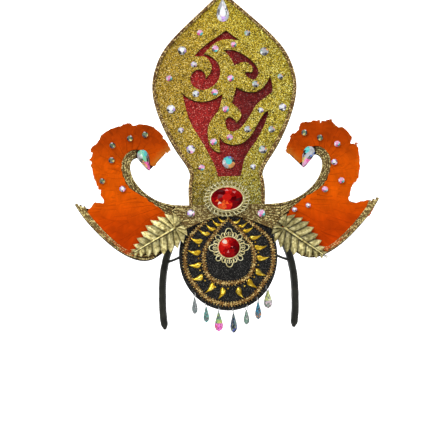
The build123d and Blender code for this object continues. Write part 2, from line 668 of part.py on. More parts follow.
def make_feathers():
    """The feathers of one wing, fused to their backing, and the stones that sit on them."""
    outlines = feather_layers()
    pad = layer(outlines[0], BOARD_FRONT, FEATHER_BACKING + FEATHER_LAYER)
    for count, outline in enumerate(outlines[1:], start=1):
        pad += layer(outline, feather_depth(count), FEATHER_LAYER)
    save_pair("wing_feathers", pad)
    right = Compound(wing_stones(outlines, "right"))
    left = Compound(wing_stones(outlines, "left"))
    save("wing_stones_right", right)
    save("wing_stones_left", mirror(left, about=Plane.YZ))
    points, middle = curl_stone_points(CURL_STONE_WIDE, CURL_STONE_LONG)
    tiers = [(BRAID_THICK, 1.0), (BRAID_THICK + 1.4 * STONE_HIGH, STONE_TABLE)]
    save_pair("curl_stone", SEAT * cut_stone(points, middle, BOARD_FRONT, tiers))


def wing_stones(outlines, side):
    """The stones of one side as they would lie on the right, each on the layers under it."""
    stones = []
    for across, height, wide in WING_STONES[side]:
        x, up = wing_point(across, height)
        foot = Pos(x, up) * Circle(wide / 2)
        under = sum(1 for outline in outlines if meets(foot, outline))
        stones.append(round_stone(x, up, wide, feather_depth(under)))
    across, height, wide = COLLAR_STONES[side]
    stones.append(round_stone(*wing_point(across, height), wide, BRAID_FRONT))
    return stones


def meets(face, other):
    """Whether two flat faces share any area."""
    common = face & other
    return common is not None and sum(part.area for part in common.faces()) > 0.01


def make_leaf():
    """A stamped leaf with toothed sides, a raised rib and a raised vein to each tooth."""
    side = []
    for tooth, following in zip(LEAF_TEETH, LEAF_TEETH[1:]):
        notch = ((tooth[0] + following[0]) / 2, (tooth[1] + following[1]) / 2 - LEAF_NOTCH)
        side += [tooth, notch]
    plate = polygon([(LEAF_STEM, 0)] + side + [LEAF_TEETH[-1], (LEAF_LONG, 0)])
    plate += mirror(plate, about=Plane.XZ)
    rib_end = LEAF_TEETH[-1][0]
    rib = polygon([(0, -RIB_HALF), (0, RIB_HALF), (rib_end, VEIN_HALF),
                   (rib_end, -VEIN_HALF)])
    for far, out in LEAF_TEETH[:-1]:
        foot = max(RIB_HALF, far - VEIN_SWEEP * out)
        end = foot + VEIN_REACH * (far - foot)
        vein = polygon([(foot - VEIN_HALF, 0), (foot + VEIN_HALF, 0),
                        (end + VEIN_HALF, VEIN_REACH * out), (end, VEIN_REACH * out)])
        rib += [vein, mirror(vein, about=Plane.XZ)]
    place = Pos(LEAF_ROOT_X, LEAF_ROOT_UP) * Rot(0, 0, LEAF_TURN)
    leaf = layer(place * plate, LEAF_BACK, LEAF_THICK)
    leaf += layer(place * rib, LEAF_BACK + LEAF_THICK, VEIN_HIGH)
    save_pair("leaf", leaf)


def make_headband():
    """The padded arch: its front outline, trimmed by its outline from the side."""
    outer = [(half / 100 * BAND_HALF, BAND_THICK - drop / 100 * (BAND_DROP + BAND_THICK))
             for half, drop in BAND_ARCH]
    arch = ribbon(outer, 0, BAND_THICK, steps=18)
    toe = Pos(*along(curve(outer), 1, -BAND_THICK / 2)) * Circle(BAND_THICK / 2)
    arch = both(right_half(arch + toe))
    solid = extrude(Plane.XZ * arch, 4 * BAND_WIDE, both=True)
    front = -BAND_FRONT
    rear = front + BAND_WIDE
    low = -BAND_DROP - 1
    side = [(front, BAND_THICK + 1), (front - 0.5 * BAND_THICK * LEAN_SLOPE, 0),
            (front - BAND_LEAN_DROP * LEAN_SLOPE, -BAND_LEAN_DROP),
            (front + BAND_MID_BACK, -BAND_DROP / 2),
            (BAND_TIP_BACK - BAND_TIP_WIDE / 2, low), (BAND_TIP_BACK + BAND_TIP_WIDE / 2, low),
            (rear + BAND_MID_SPARE, -BAND_DROP / 2), (rear, -BAND_LEAN_DROP),
            (rear, BAND_THICK + 1)]
    trim = extrude(Plane.YZ * polygon(side), 2 * BAND_HALF, both=True)
    save("headband", solid & trim)
    front_plane = layer(Rectangle(4 * BAND_HALF, 4 * BAND_DROP), PANEL_FRONT - GLUE, BAND_WIDE)
    ends = [(DISC_WIDE / 2 - BRACE_INSET, -1.5 * BAND_WIDE, -BRACE_FRONT_DROP),
            (BAND_HALF - BAND_THICK / 2, 0, -BRACE_BACK_DROP)]
    strap = loft([Pos(*end) * (Plane.XZ * Rectangle(BRACE_THICK, BRACE_TALL)) for end in ends])
    save_pair("brace", strap - front_plane - Pos(0, -GLUE, 0) * trim)


make_crest()
make_crest_stones()
make_disc()
make_disc_gem()
make_oval_gem()
make_board()
make_board_braids()
make_feathers()
make_leaf()
make_headband()
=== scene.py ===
import math
import random

import bpy
import numpy as np
from mathutils import Matrix, Vector


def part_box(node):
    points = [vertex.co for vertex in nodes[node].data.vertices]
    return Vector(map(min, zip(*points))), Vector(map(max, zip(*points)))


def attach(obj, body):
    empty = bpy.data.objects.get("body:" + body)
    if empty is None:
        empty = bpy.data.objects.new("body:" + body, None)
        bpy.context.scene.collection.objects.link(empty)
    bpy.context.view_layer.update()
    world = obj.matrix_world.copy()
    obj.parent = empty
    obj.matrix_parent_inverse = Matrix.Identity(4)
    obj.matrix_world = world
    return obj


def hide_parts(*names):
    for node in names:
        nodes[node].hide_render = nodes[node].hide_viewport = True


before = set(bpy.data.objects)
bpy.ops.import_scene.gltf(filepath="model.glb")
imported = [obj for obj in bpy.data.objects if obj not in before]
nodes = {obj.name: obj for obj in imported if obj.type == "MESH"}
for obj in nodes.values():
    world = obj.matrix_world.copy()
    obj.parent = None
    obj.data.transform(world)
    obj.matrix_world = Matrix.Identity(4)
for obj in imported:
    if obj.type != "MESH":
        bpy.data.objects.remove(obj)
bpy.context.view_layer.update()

chance = random.Random(7)


# Crest panel and its backing: glitter-faced craft foam, cut by hand. The gold sheet has four
# scrolls cut out of it and is glued on the red sheet, which shows through them.
class Nodes:
    """The nodes of a material or a group. An input takes a plain value or a node's output."""

    def __init__(self, made, tree, end):
        self.made, self.tree, self.end = made, tree, end

    def give(self, node, inputs):
        for title, value in dict(inputs).items():
            socket = node.inputs[title]
            if isinstance(value, bpy.types.NodeSocket):
                self.tree.links.new(value, socket)
            else:
                socket.default_value = (*value, 1) if socket.type == "RGBA" else value

    def add(self, kind, inputs=(), **settings):
        """The outputs of a new node with these settings and inputs."""
        node = self.tree.nodes.new("ShaderNode" + kind)
        for name, value in settings.items():
            setattr(node, name, value)
        self.give(node, inputs)
        return node.outputs

    def done(self, inputs):
        """The material or group, once its last node has its inputs."""
        self.give(self.end, inputs)
        return self.made

    def math(self, operation, *values):
        return self.add("Math", enumerate(values), operation=operation)[0]

    def vector(self, operation, inputs):
        return self.add("VectorMath", inputs, operation=operation)

    def blend(self, factor, first, second, way="MIX"):
        return self.add("Mix", {"Factor": factor, "A": first, "B": second}, data_type="RGBA",
                        blend_type=way)["Result"]

    def ramp(self, factor, stops):
        shown = self.add("ValToRGB", {"Fac": factor})["Color"]
        elements = shown.node.color_ramp.elements
        while len(elements) < len(stops):
            elements.new(0.5)
        for element, (place, color) in zip(elements, stops):
            element.position = place
            element.color = (*color, 1)
        return shown

    def reach(self, value, low, high, to_low=0.0, to_high=1.0):
        return self.add("MapRange", {"Value": value, "From Min": low, "From Max": high,
                                     "To Min": to_low, "To Max": to_high})["Result"]

    def here(self):
        """The place on the piece itself, in metres."""
        return self.add("TexCoord")["Object"]

    def axis(self, axis):
        return self.add("SeparateXYZ", {"Vector": self.here()})[axis]

    def noise(self, scale, detail=2.0):
        return self.add("TexNoise", {"Vector": self.here(), "Scale": scale,
                                     "Detail": detail})["Fac"]

    def cells(self, scale):
        return self.add("TexVoronoi", {"Vector": self.here(), "Scale": scale})

    def parts(self, color):
        """A colour's red, green and blue."""
        return self.add("SeparateColor", {"Color": color})

    def bump(self, height, strength, distance):
        return self.add("Bump", {"Height": height, "Strength": strength,
                                 "Distance": distance})["Normal"]

    def tint(self):
        """The colour that each face of the mesh carries."""
        return self.add("VertexColor", layer_name="tint")["Color"]


class Finish(Nodes):
    """A new material, which ends in its Principled shader."""

    def __init__(self, name):
        material = bpy.data.materials.new(name)
        material.use_nodes = True
        super().__init__(material, material.node_tree,
                         material.node_tree.nodes["Principled BSDF"])


class Effect(Nodes):
    """A shader node group with named inputs and outputs."""

    def __init__(self, name, inputs, outputs):
        tree = bpy.data.node_groups.new(name, "ShaderNodeTree")
        for way, sockets in (("INPUT", inputs), ("OUTPUT", outputs)):
            for title, kind in sockets.items():
                tree.interface.new_socket(title, in_out=way, socket_type="NodeSocket" + kind)
        self.given = tree.nodes.new("NodeGroupInput").outputs
        super().__init__(tree, tree, tree.nodes.new("NodeGroupOutput"))


def glitter_effect():
    """Flakes of glitter: each cell has its own brightness and its own tilt, and a share of the
    cells is painted with a glint colour.
    """
    paint = Effect("Glitter flakes",
                   {"Scale": "Float", "Deep": "Color", "Body": "Color", "Painted glint": "Color",
                    "Tilt": "Float", "Painted glint cutoff": "Float"},
                   {"Color": "Color", "Roughness": "Float", "Normal": "Vector"})
    flakes = paint.cells(paint.given["Scale"])
    red, green, blue = paint.parts(flakes["Color"])
    uneven = paint.math("MULTIPLY_ADD", paint.noise(240.0, 3.0), 0.7, -0.35)
    level = paint.math("MULTIPLY_ADD", paint.math("ADD", red, uneven), 1.8, -0.38)
    body = paint.blend(level, paint.given["Deep"], paint.given["Body"])
    glint_mask = paint.math("GREATER_THAN", green, paint.given["Painted glint cutoff"])
    centred = paint.vector("SUBTRACT", {0: flakes["Color"], 1: (0.5, 0.5, 0.5)})["Vector"]
    tilted = paint.vector("SCALE", {0: centred, "Scale": paint.given["Tilt"]})["Vector"]
    facing = paint.vector("ADD", {0: paint.add("NewGeometry")["Normal"], 1: tilted})["Vector"]
    return paint.done({"Color": paint.blend(glint_mask, body, paint.given["Painted glint"]),
                       "Roughness": paint.math("MULTIPLY_ADD", blue, 0.3, 0.28),
                       "Normal": paint.vector("NORMALIZE", {0: facing})["Vector"]})


glitter = glitter_effect()
BARE_ROUGH = 0.85


def glitter_foam(name, deep, body, painted_glint, edge, glint_cutoff, metal=0.4, fine=1350.0, shine=0.2,
                 painted_light_across=(), painted_light_upwards=()):
    """Foam whose front is glitter and whose cut sides and back are bare foam. The last two
    arguments paint light and shade on its colour across and upwards: (place in m, colour) pairs."""
    paint = Finish(name)
    # A share of the flakes takes the spark colour as a painted glint.
    flakes = paint.add("Group", {"Deep": deep, "Body": body, "Painted glint": painted_glint, "Tilt": 0.9,
                                 "Painted glint cutoff": glint_cutoff, "Scale": fine}, node_tree=glitter)
    shown = flakes["Color"]
    for axis, changes in (("X", painted_light_across), ("Z", painted_light_upwards)):
        if changes:
            low, high = changes[0][0], changes[-1][0]
            shade = paint.ramp(paint.reach(paint.axis(axis), low, high),
                               [((place - low) / (high - low), color)
                                for place, color in changes])
            shown = paint.blend(1.0, shown, shade, "MULTIPLY")
    way = paint.add("NewGeometry")["True Normal"]
    ahead = paint.vector("DOT_PRODUCT", {0: way, 1: FRONT_WAY})["Value"]
    front = paint.math("GREATER_THAN", ahead, 0.6)
    bare = paint.ramp(paint.noise(900.0), [(0.3, [0.6 * part for part in edge]), (0.7, edge)])
    smoother = paint.math("MULTIPLY", front,
                          paint.math("SUBTRACT", BARE_ROUGH, flakes["Roughness"]))
    return paint.done({"Base Color": paint.blend(front, bare, shown),
                       "Metallic": paint.math("MULTIPLY", front, metal),
                       "Roughness": paint.math("SUBTRACT", BARE_ROUGH, smoother),
                       "Normal": flakes["Normal"], "Specular IOR Level": shine})


# The front leans back, and its layers are counted forwards from the back of the backing
BAND_THICK, BAND_FRONT, GLUE = 8.5, 18.0, 0.3
LEAN = math.radians(15)
SEAT_BACK = BAND_FRONT + BAND_THICK * math.tan(LEAN) + GLUE / math.cos(LEAN)
FRONT = (Matrix.Translation((0, -SEAT_BACK / 1000, 0)) @ Matrix.Rotation(-LEAN, 4, "X")
         @ Matrix.Diagonal((0.001, 0.001, 0.001, 1)))
FRONT_WAY = (FRONT.to_3x3() @ Vector((0, -1, 0))).normalized()
PANEL_FRONT, DISC_FRONT, BOARD_FRONT, BRAID_FRONT = 6.0, 10.0, 13.0, 15.4


def dress(node, material):
    """Gives a solid that stays its finish."""
    nodes[node].data.materials.clear()
    nodes[node].data.materials.append(material)


# Painted light and shade: the gold foam is darker to the left and towards the foot, lighter to the
# right and at the top.
dress("crest_panel", glitter_foam(
    "Gold glitter foam", (0.050, 0.030, 0.002), (0.64, 0.46, 0.030), (1.0, 0.90, 0.26),
    (0.07, 0.035, 0.01), glint_cutoff=0.86,
    painted_light_across=[(-0.08, (0.86, 0.72, 0.85)), (-0.03, (0.95, 0.86, 0.9)), (0.03, (1, 1, 1)),
               (0.08, (1, 1.06, 1.1))],
    painted_light_upwards=[(0.035, (0.72, 0.80, 1.25)), (0.075, (0.92, 0.95, 1.05)), (0.11, (1, 1, 1)),
               (0.19, (1, 1, 1)), (0.235, (1.1, 1.12, 0.85))]))
# Painted shade: the red foam is darker towards the right.
dress("crest_backing", glitter_foam(
    "Red glitter foam", (0.14, 0.004, 0.005), (0.58, 0.032, 0.026), (0.95, 0.30, 0.24),
    (0.10, 0.012, 0.014), glint_cutoff=0.93,
    painted_light_across=[(-0.05, (1, 1, 1)), (-0.01, (0.85, 0.8, 0.8)), (0.02, (0.42, 0.45, 0.5)),
               (0.06, (0.38, 0.4, 0.45))]))


# Braid round the crest: a flat plait of three bronze metallic cords, glued on the edge of the
# gold sheet with its ends under the collar.
CREST_BASE, CREST_TALL, CREST_HALF = 9.0, 259.0, 81.0
# Columns: height in % of CREST_TALL, half width in % of CREST_HALF
CREST_EDGE = [(2.9, 51.9), (6.8, 52), (12.5, 52), (16.8, 49.5), (20, 52.5), (25.4, 63),
              (36.2, 82), (47, 95), (57, 100), (67, 93.5), (74.2, 82), (81.5, 62.5),
              (89, 38), (96, 14.5), (100, 0)]
CREST_BRAID_WIDE, BRAID_GAP, SPAN_STEPS = 4.4, 0.4, 24


def smooth_line(points, step=1.0):
    """A smooth line through points, with about the given step between its rows."""
    points = np.asarray(points, float)
    ends = np.vstack([2 * points[0] - points[1], points, 2 * points[-1] - points[-2]])
    rows = []
    for before, first, last, after in zip(ends, ends[1:], ends[2:], ends[3:]):
        share = np.linspace(0, 1, SPAN_STEPS, endpoint=False)[:, None]
        rows.append(0.5 * (2 * first + (last - before) * share
                           + (2 * before - 5 * first + 4 * last - after) * share ** 2
                           + (3 * first - before - 3 * last + after) * share ** 3))
    rows.append(points[-1:])
    line = np.vstack(rows)
    return spaced(line, max(2, int(round(length_of(line) / step)) + 1))


def length_of(line):
    return float(np.linalg.norm(np.diff(line, axis=0), axis=1).sum())


def spaced(line, count):
    """The same line with a count of evenly spaced rows."""
    gone = np.concatenate([[0], np.cumsum(np.linalg.norm(np.diff(line, axis=0), axis=1))])
    wanted = np.linspace(0, gone[-1], count)
    return np.column_stack([np.interp(wanted, gone, column) for column in line.T])


def unit(rows):
    """Each row with a length of one."""
    return rows / (np.linalg.norm(rows, axis=1)[:, None] + 1e-12)


def left_of(line):
    """Unit steps to the left of a flat line, one for each row."""
    way = unit(np.gradient(line, axis=0))
    return np.column_stack([-way[:, 1], way[:, 0]])


def skin(count, sides, closed=False):
    """The faces round a count of rings in a row, and over its two ends if it isn't closed."""
    faces = []
    for row in range(count if closed else count - 1):
        here, there = row * sides, (row + 1) % count * sides
        for side in range(sides):
            after = (side + 1) % sides
            faces.append((here + side, there + side, there + after, here + after))
    if not closed:
        faces += [tuple(range(sides)), tuple(reversed(range((count - 1) * sides, count * sides)))]
    return faces


def round_angles(count, late=0.0):
    """Evenly spaced angles all the way round, the first one a share of a step late."""
    return 2 * math.pi * (np.arange(count) + late) / count


def tube(path, radius, sides=6, closed=False):
    """A round cord along a path of (across, up, depth): its corners and its faces."""
    path = np.asarray(path, float)
    if closed:
        way = unit(np.roll(path, -1, axis=0) - np.roll(path, 1, axis=0))
    else:
        way = unit(np.gradient(path, axis=0))
    aside = unit(np.cross(way, (0, 0, 1.0)))
    out = np.cross(aside, way)
    radius = np.broadcast_to(np.asarray(radius, float), (len(path),))[:, None, None]
    turns = round_angles(sides)[None, :, None]
    ring = np.cos(turns) * aside[:, None, :] + np.sin(turns) * out[:, None, :]
    return (path[:, None, :] + radius * ring).reshape(-1, 3), skin(len(path), sides, closed)


CORD_STEPS, CORD_SIDES, CORD_SHARE = 8, 6, 0.2


def plait(line, wide, depth, pitch_share=1.5):
    """A flat plait of three cords laid along a line of (across, up), its back at a depth.
    Each cord carries painted shade: darkest low down, where it dips under the others, and on
    the sides that turn from the front."""
    wide = np.asarray(wide, float).ravel()
    turns = max(1, round(length_of(line) / (pitch_share * float(np.mean(wide)))))
    line = spaced(line, turns * CORD_STEPS + 1)
    count = len(line)
    across = np.interp(np.linspace(0, 1, count), np.linspace(0, 1, wide.size), wide)
    aside = left_of(line)
    cord = across * CORD_SHARE
    front = np.sin(round_angles(CORD_SIDES, 0.5))
    parts = []
    for strand in range(3):
        phase = 2 * math.pi * (np.arange(count) / CORD_STEPS + strand / 3)
        swing = (across / 2 - cord) * np.sin(phase)
        lift = np.sin(2 * phase)
        path = np.column_stack([line + aside * swing[:, None], depth + cord * (1.8 + 0.8 * lift)])
        shade = 1.25 * np.outer(0.52 + 0.48 * lift[:-1], 0.08 + 0.92 * np.maximum(0, front))
        shade = np.append(shade, (0.1, 0.1))
        parts.append((*tube(path, cord, CORD_SIDES), np.column_stack([shade] * 3)))
    return parts


def mesh_of(name, corners, faces, material, tints=(), smooth=True):
    """A mesh in metres. Its tints are one colour for each face."""
    mesh = bpy.data.meshes.new(name)
    mesh.from_pydata(np.asarray(corners).tolist(), [], faces)
    mesh.polygons.foreach_set("use_smooth", [smooth] * len(faces))
    if len(tints):
        each = np.repeat(np.asarray(tints, float), [len(face) for face in faces], axis=0)
        paint = mesh.color_attributes.new("tint", "FLOAT_COLOR", "CORNER")
        paint.data.foreach_set("color", np.column_stack([each, np.ones(len(each))]).ravel())
    mesh.materials.append(material)
    mesh.update()
    return mesh


def in_scene(name, data):
    """A new object in the scene."""
    thing = bpy.data.objects.new(name, data)
    bpy.context.collection.objects.link(thing)
    return thing


def finished(name, mesh, replaced=()):
    """A mesh as a piece that rides on the one body and stands for the solids it replaces."""
    piece = in_scene(name, mesh)
    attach(piece, "root")
    if replaced:
        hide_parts(*replaced)
    return piece


def front_piece(name, parts, material, replaced=(), smooth=True):
    """One piece from parts given on the leaning front: corners as (across, up, depth) in mm,
    faces, and if wanted a colour for each face."""
    corners, faces, tints = [], [], []
    start = 0
    for part in parts:
        own = np.asarray(part[0], float)
        corners.append(own)
        faces += [tuple(start + corner for corner in face) for face in part[1]]
        if len(part) > 2:
            tints += list(part[2])
        start += len(own)
    corners = np.vstack(corners)
    placed = np.column_stack([corners[:, 0], -corners[:, 2], corners[:, 1],
                              np.ones(len(corners))]) @ np.array(FRONT).T
    mesh = mesh_of(name, placed[:, :3], faces, material, tints, smooth)
    return finished(name, mesh, replaced)


def thread_effect():
    """Metallic thread: painted shade in its dips, a body colour and scattered flecks of painted
    glint.
    """
    paint = Effect("Metallic thread",
                   {"Deep": "Color", "Body": "Color", "Glint fleck": "Color", "Glint fleck cutoff": "Float"},
                   {"Color": "Color", "Height": "Float"})
    wound = paint.noise(1400.0, 3.0)
    red = paint.parts(paint.cells(820.0)["Color"])["Red"]
    body = paint.blend(paint.reach(wound, 0.35, 0.65), paint.given["Deep"], paint.given["Body"])
    glint_mask = paint.math("GREATER_THAN", red, paint.given["Glint fleck cutoff"])
    return paint.done({"Color": paint.blend(glint_mask, body, paint.given["Glint fleck"]), "Height": wound})


metallic_thread = thread_effect()


def thread_material(name, deep, body, glint_fleck, glint_fleck_cutoff):
    paint = Finish(name)
    thread = paint.add("Group", {"Deep": deep, "Body": body, "Glint fleck": glint_fleck, "Glint fleck cutoff": glint_fleck_cutoff},
                       node_tree=metallic_thread)
    return paint.done({"Base Color": paint.blend(1.0, thread["Color"], paint.tint(), "MULTIPLY"),
                       "Normal": paint.bump(thread["Height"], 0.5, 0.0002),
                       "Metallic": 0.3, "Roughness": 0.45, "Specular IOR Level": 0.25})


brown = thread_material("Crest braid", (0.060, 0.024, 0.006), (0.34, 0.17, 0.045),
                        (1.0, 0.72, 0.28), glint_fleck_cutoff=0.72)
edge_line = smooth_line([(half / 100 * CREST_HALF, CREST_BASE + up / 100 * CREST_TALL)
                         for up, half in CREST_EDGE])
braid_line = edge_line + left_of(edge_line) * CREST_BRAID_WIDE / 2
braid_line = braid_line[braid_line[:, 0] > BRAID_GAP]
front_piece("crest_edge_braid", plait(braid_line, CREST_BRAID_WIDE, PANEL_FRONT)
            + plait(braid_line * (-1, 1), CREST_BRAID_WIDE, PANEL_FRONT), brown,
            ["crest_braid"])


# Flat-backed stones: foil-backed cut glass with a rainbow coating, glued on foam, braid and
# feathers. Each has a table, a crown of facets and a low girdle.
# Facet colours hold painted reflections, white, silver and dark, beside the coating's colours.
WHITE, SILVER, SMOKE, DARK = (0.90, 0.90, 0.92), (0.52, 0.53, 0.56), (0.16, 0.16, 0.17), \
    (0.035, 0.035, 0.04)
LILAC, PINK, ROSE = (0.62, 0.42, 0.88), (0.95, 0.42, 0.68), (0.90, 0.12, 0.42)
TEAL, GREEN, MOSS = (0.10, 0.62, 0.60), (0.22, 0.62, 0.38), (0.14, 0.20, 0.11)
BLUE, AMBER, GOLDEN = (0.12, 0.25, 0.75), (0.95, 0.42, 0.12), (0.88, 0.72, 0.20)
LILAC_STONE = [WHITE, LILAC, SILVER, DARK, PINK, WHITE, SMOKE, LILAC]
PINK_STONE = [PINK, WHITE, ROSE, SMOKE, TEAL, WHITE, PINK, SILVER]
CLEAR_STONE = [WHITE, SILVER, DARK, WHITE, SMOKE, LILAC, WHITE, SILVER]
GREEN_STONE = [SILVER, GREEN, WHITE, SMOKE, DARK, SILVER, AMBER, SMOKE]
MOSS_STONE = [MOSS, SMOKE, DARK, SMOKE, GOLDEN, MOSS, DARK, SILVER]


def spin(color):
    """A facet's colour a little lighter or darker than its neighbour's."""
    light = chance.uniform(0.75, 1.2)
    return tuple(min(1.0, light * part) for part in color)


def facet_color(hues, angle, start):
    """Hues lie round a stone from the start angle, so that its painted light and shade go by
    direction, and a facet takes the one that lies its way.
    """
    place = (angle - start) / (2 * math.pi) * len(hues)
    return spin(hues[int(round(place + chance.uniform(-0.3, 0.3))) % len(hues)])


def cut_round(x, up, back, wide, high, hues, sides=8):
    """A brilliant-cut round stone, as wide as given from flat side to flat side: girdle, two
    rows of crown facets and a table."""
    def ring(radius, depth, turn):
        angles = round_angles(sides, 0.5 + turn)
        return np.column_stack([x + radius * np.cos(angles), up + radius * np.sin(angles),
                                np.full(sides, depth)])
    half = wide / 2 / math.cos(math.pi / sides)
    corners = np.vstack([ring(half, back, 0), ring(half, back + 0.3 * high, 0),
                         ring(0.80 * half, back + 0.68 * high, 0.5),
                         ring(0.50 * half, back + high, 0)])
    # The hues start at the upper left, so that their light and dark facets fall as painted light
    # and shade.
    start = chance.uniform(1.6, 2.9)
    faces, colors = [], []
    for side in range(sides):
        after, before = (side + 1) % sides, (side - 1) % sides
        girdle, star, table = sides + side, 2 * sides + side, 3 * sides + side
        faces += [(side, after, sides + after, girdle), (girdle, sides + after, star),
                  (girdle, star, table, 2 * sides + before),
                  (star, 3 * sides + after, table)]
        angle = 2 * math.pi * (side + 0.5) / sides
        half_way = angle + math.pi / sides
        colors += [spin(SMOKE), facet_color(hues, half_way, start),
                   facet_color(hues, angle, start), facet_color(hues, half_way, start)]
    faces += [tuple(range(3 * sides, 4 * sides)), tuple(reversed(range(sides)))]
    colors += [spin(hues[0]), SMOKE]
    return corners, faces, colors


def cut_gem(outline, middle, back, tiers, hues, start, table=None):
    """A faceted stone on any outline: tiers of (height, share of the outline, turn in
    half steps), each joined to the next by flat facets."""
    outline = np.asarray(outline, float)
    middle = np.asarray(middle, float)
    count = len(outline)
    rings = []
    for high, share, turn in tiers:
        flat = outline if not turn else (outline + np.roll(outline, -1, axis=0)) / 2
        flat = middle + share * (flat - middle)
        rings.append(np.column_stack([flat, np.full(count, back + high)]))
    faces, colors = [], []
    for low in range(len(tiers) - 1):
        straight = tiers[low][2] == tiers[low + 1][2]
        for side in range(count):
            after, before = (side + 1) % count, (side - 1) % count
            here, above = low * count, (low + 1) * count
            if straight:
                own = [(here + side, here + after, above + after, above + side)]
            elif tiers[low + 1][2]:
                own = [(here + side, here + after, above + side),
                       (here + side, above + side, above + before)]
            else:
                own = [(here + side, here + after, above + after),
                       (here + side, above + after, above + side)]
            aim = rings[low][side][:2] - middle
            angle = math.atan2(aim[1], aim[0])
            faces += own
            colors += [facet_color(hues, angle, start) for face in own]
    top = (len(tiers) - 1) * count
    faces += [tuple(range(top, top + count)), tuple(reversed(range(count)))]
    colors += [table or spin(hues[0]), hues[0]]
    return np.vstack(rings), faces, colors


def turned(px, pup, turn):
    """A flat place turned about the origin by an angle."""
    return px * math.cos(turn) - pup * math.sin(turn), px * math.sin(turn) + pup * math.cos(turn)


PEAR_SIDES, PEAR_POINTED = 16, 1.3


def pear_outline(x, up, wide, long, turn=0.0):
    """A pear outline about its middle, its point turned from straight up by an angle."""
    angles = -round_angles(PEAR_SIDES)
    across = np.sin(angles) * np.abs(np.sin(angles / 2)) ** PEAR_POINTED
    px, pup = turned(wide / 2 * across / across.max(), long / 2 * np.cos(angles),
                     math.radians(turn))
    return np.column_stack([x + px, up + pup])


def seats(node):
    """Where each loose solid of a node sits on the front: (across, up, back, width)."""
    mesh = nodes[node].data
    corners = np.array([tuple(vertex.co) for vertex in mesh.vertices])
    inverse = np.array(FRONT.inverted())
    flat = (np.column_stack([corners, np.ones(len(corners))]) @ inverse.T)[:, :3]
    parent = list(range(len(flat)))
    spots = {}
    for place, corner in enumerate(np.round(flat, 3)):
        parent[place] = spots.setdefault(tuple(corner), place)

    def head(place):
        while parent[place] != place:
            place = parent[place]
        return place
    for edge in mesh.edges:
        parent[head(edge.vertices[0])] = head(edge.vertices[1])
    groups = {}
    for place in range(len(flat)):
        groups.setdefault(head(place), []).append(place)
    found = []
    for members in groups.values():
        low, high = flat[members].min(0), flat[members].max(0)
        found.append(((low[0] + high[0]) / 2, (low[2] + high[2]) / 2, -high[1],
                      high[0] - low[0]))
    return sorted(found)


def stone_material(name, coat, film_colors, depth=0.8, shine=0.4):
    """Coated foil-backed glass: each facet shows its own colour under a hard gloss."""
    paint = Finish(name)
    film = paint.ramp(paint.noise(420.0), film_colors)
    return paint.done({"Base Color": paint.blend(depth, paint.tint(), film, "MULTIPLY"),
                       "Roughness": 0.08, "IOR": 1.55, "Specular IOR Level": shine,
                       "Coat Weight": coat, "Coat Roughness": 0.03})


rainbow = stone_material("Rainbow stone", 0.2, [(0.35, (0.80, 0.95, 0.98)), (0.5, (1, 1, 1)),
                                                (0.65, (1, 0.86, 0.93))])
STONE_HIGH, LARGE_STONE_HIGH, LARGE_STONE_SIDES = 2.6, 5.2, 12
crest_stones = []
for x, up, back, wide in seats("crest_stones"):
    if abs(x) < 16:
        hues = chance.choice([PINK_STONE, PINK_STONE, CLEAR_STONE])
    elif x < 0:
        hues = chance.choice([LILAC_STONE, PINK_STONE, CLEAR_STONE])
    else:
        hues = chance.choice([GREEN_STONE, GREEN_STONE, CLEAR_STONE])
    crest_stones.append(cut_round(x, up, back, wide, STONE_HIGH, hues))
front_piece("crest_small_stones", crest_stones, rainbow, ["crest_stones"],
            smooth=False)
x, up, back, wide = seats("crest_large_stone")[0]
LARGE_STONE = [TEAL, WHITE, SILVER, AMBER, AMBER, DARK, SMOKE, BLUE]
large_stone = cut_round(x, up, back, wide, LARGE_STONE_HIGH, LARGE_STONE, LARGE_STONE_SIDES)
front_piece("crest_round_stone", [large_stone], rainbow, ["crest_large_stone"],
            smooth=False)
TOP_STONE_WIDE, TOP_STONE_LONG, TABLE_DROP = 14.0, 28.0, 4.0
top_up = CREST_BASE + 0.916 * CREST_TALL
top_stone = cut_gem(pear_outline(0, top_up, TOP_STONE_WIDE, TOP_STONE_LONG),
                    (0, top_up - TABLE_DROP), PANEL_FRONT,
                    [(0, 1, 0), (1.0, 1, 0), (2.4, 0.78, 1), (3.4, 0.5, 0)],
                    [WHITE, SILVER, SMOKE, SILVER, WHITE, LILAC, SILVER, WHITE, SMOKE], 1.2)
front_piece("crest_pear_stone", [top_stone], rainbow, ["crest_top_stone"],
            smooth=False)


# Forehead disc: black glitter foam. Two teardrop rings of copper braid with a picot edge are
# glued on it.
dress("disc", glitter_foam(
    "Black glitter foam", (0.0006, 0.0006, 0.0005), (0.012, 0.0115, 0.011),
    (0.17, 0.165, 0.15), (0.006, 0.006, 0.006), glint_cutoff=0.93, metal=0.0, fine=2300.0,
    shine=0.12))
DISC_WIDE, DISC_TALL, DISC_CENTRE = 108.0, 122.0, -40.5
OUTER_RIGHT = [(15, 79), (33, 69.5), (62.4, 48.9), (83, 31), (91, 8.7), (89, -24),
               (73.3, -48.2), (48.1, -76.2), (24, -86.5), (0, -90.5)]
OUTER_LEFT = [(-17, 82), (-35, 70), (-60, 52), (-79, 32), (-87, 8.7), (-86.5, -24),
              (-73, -48.2), (-48.1, -76.2), (-24, -86.5), (0, -90.5)]
INNER_RIGHT = [(2, 68), (13, 57), (31.5, 38), (47.5, 18), (53, -5), (45.6, -34), (25.6, -48),
               (0, -52)]
INNER_LEFT = [(2, 68), (-12, 56), (-28.5, 38), (-44, 18), (-50, -5), (-43.5, -34),
              (-25, -48), (0, -52)]
copper = thread_material("Copper braid", (0.070, 0.028, 0.006), (0.50, 0.25, 0.055),
                         (1.0, 0.74, 0.28), glint_fleck_cutoff=0.74)


def disc_point(across, height):
    return (across / 100 * DISC_WIDE / 2, DISC_CENTRE + height / 100 * DISC_TALL / 2)


def disc_line(right, left):
    """A ring's line from its top, down on the right, round and up again on the left."""
    rows = list(right) + list(left)[::-1][1:]
    return smooth_line([disc_point(*row) for row in rows])


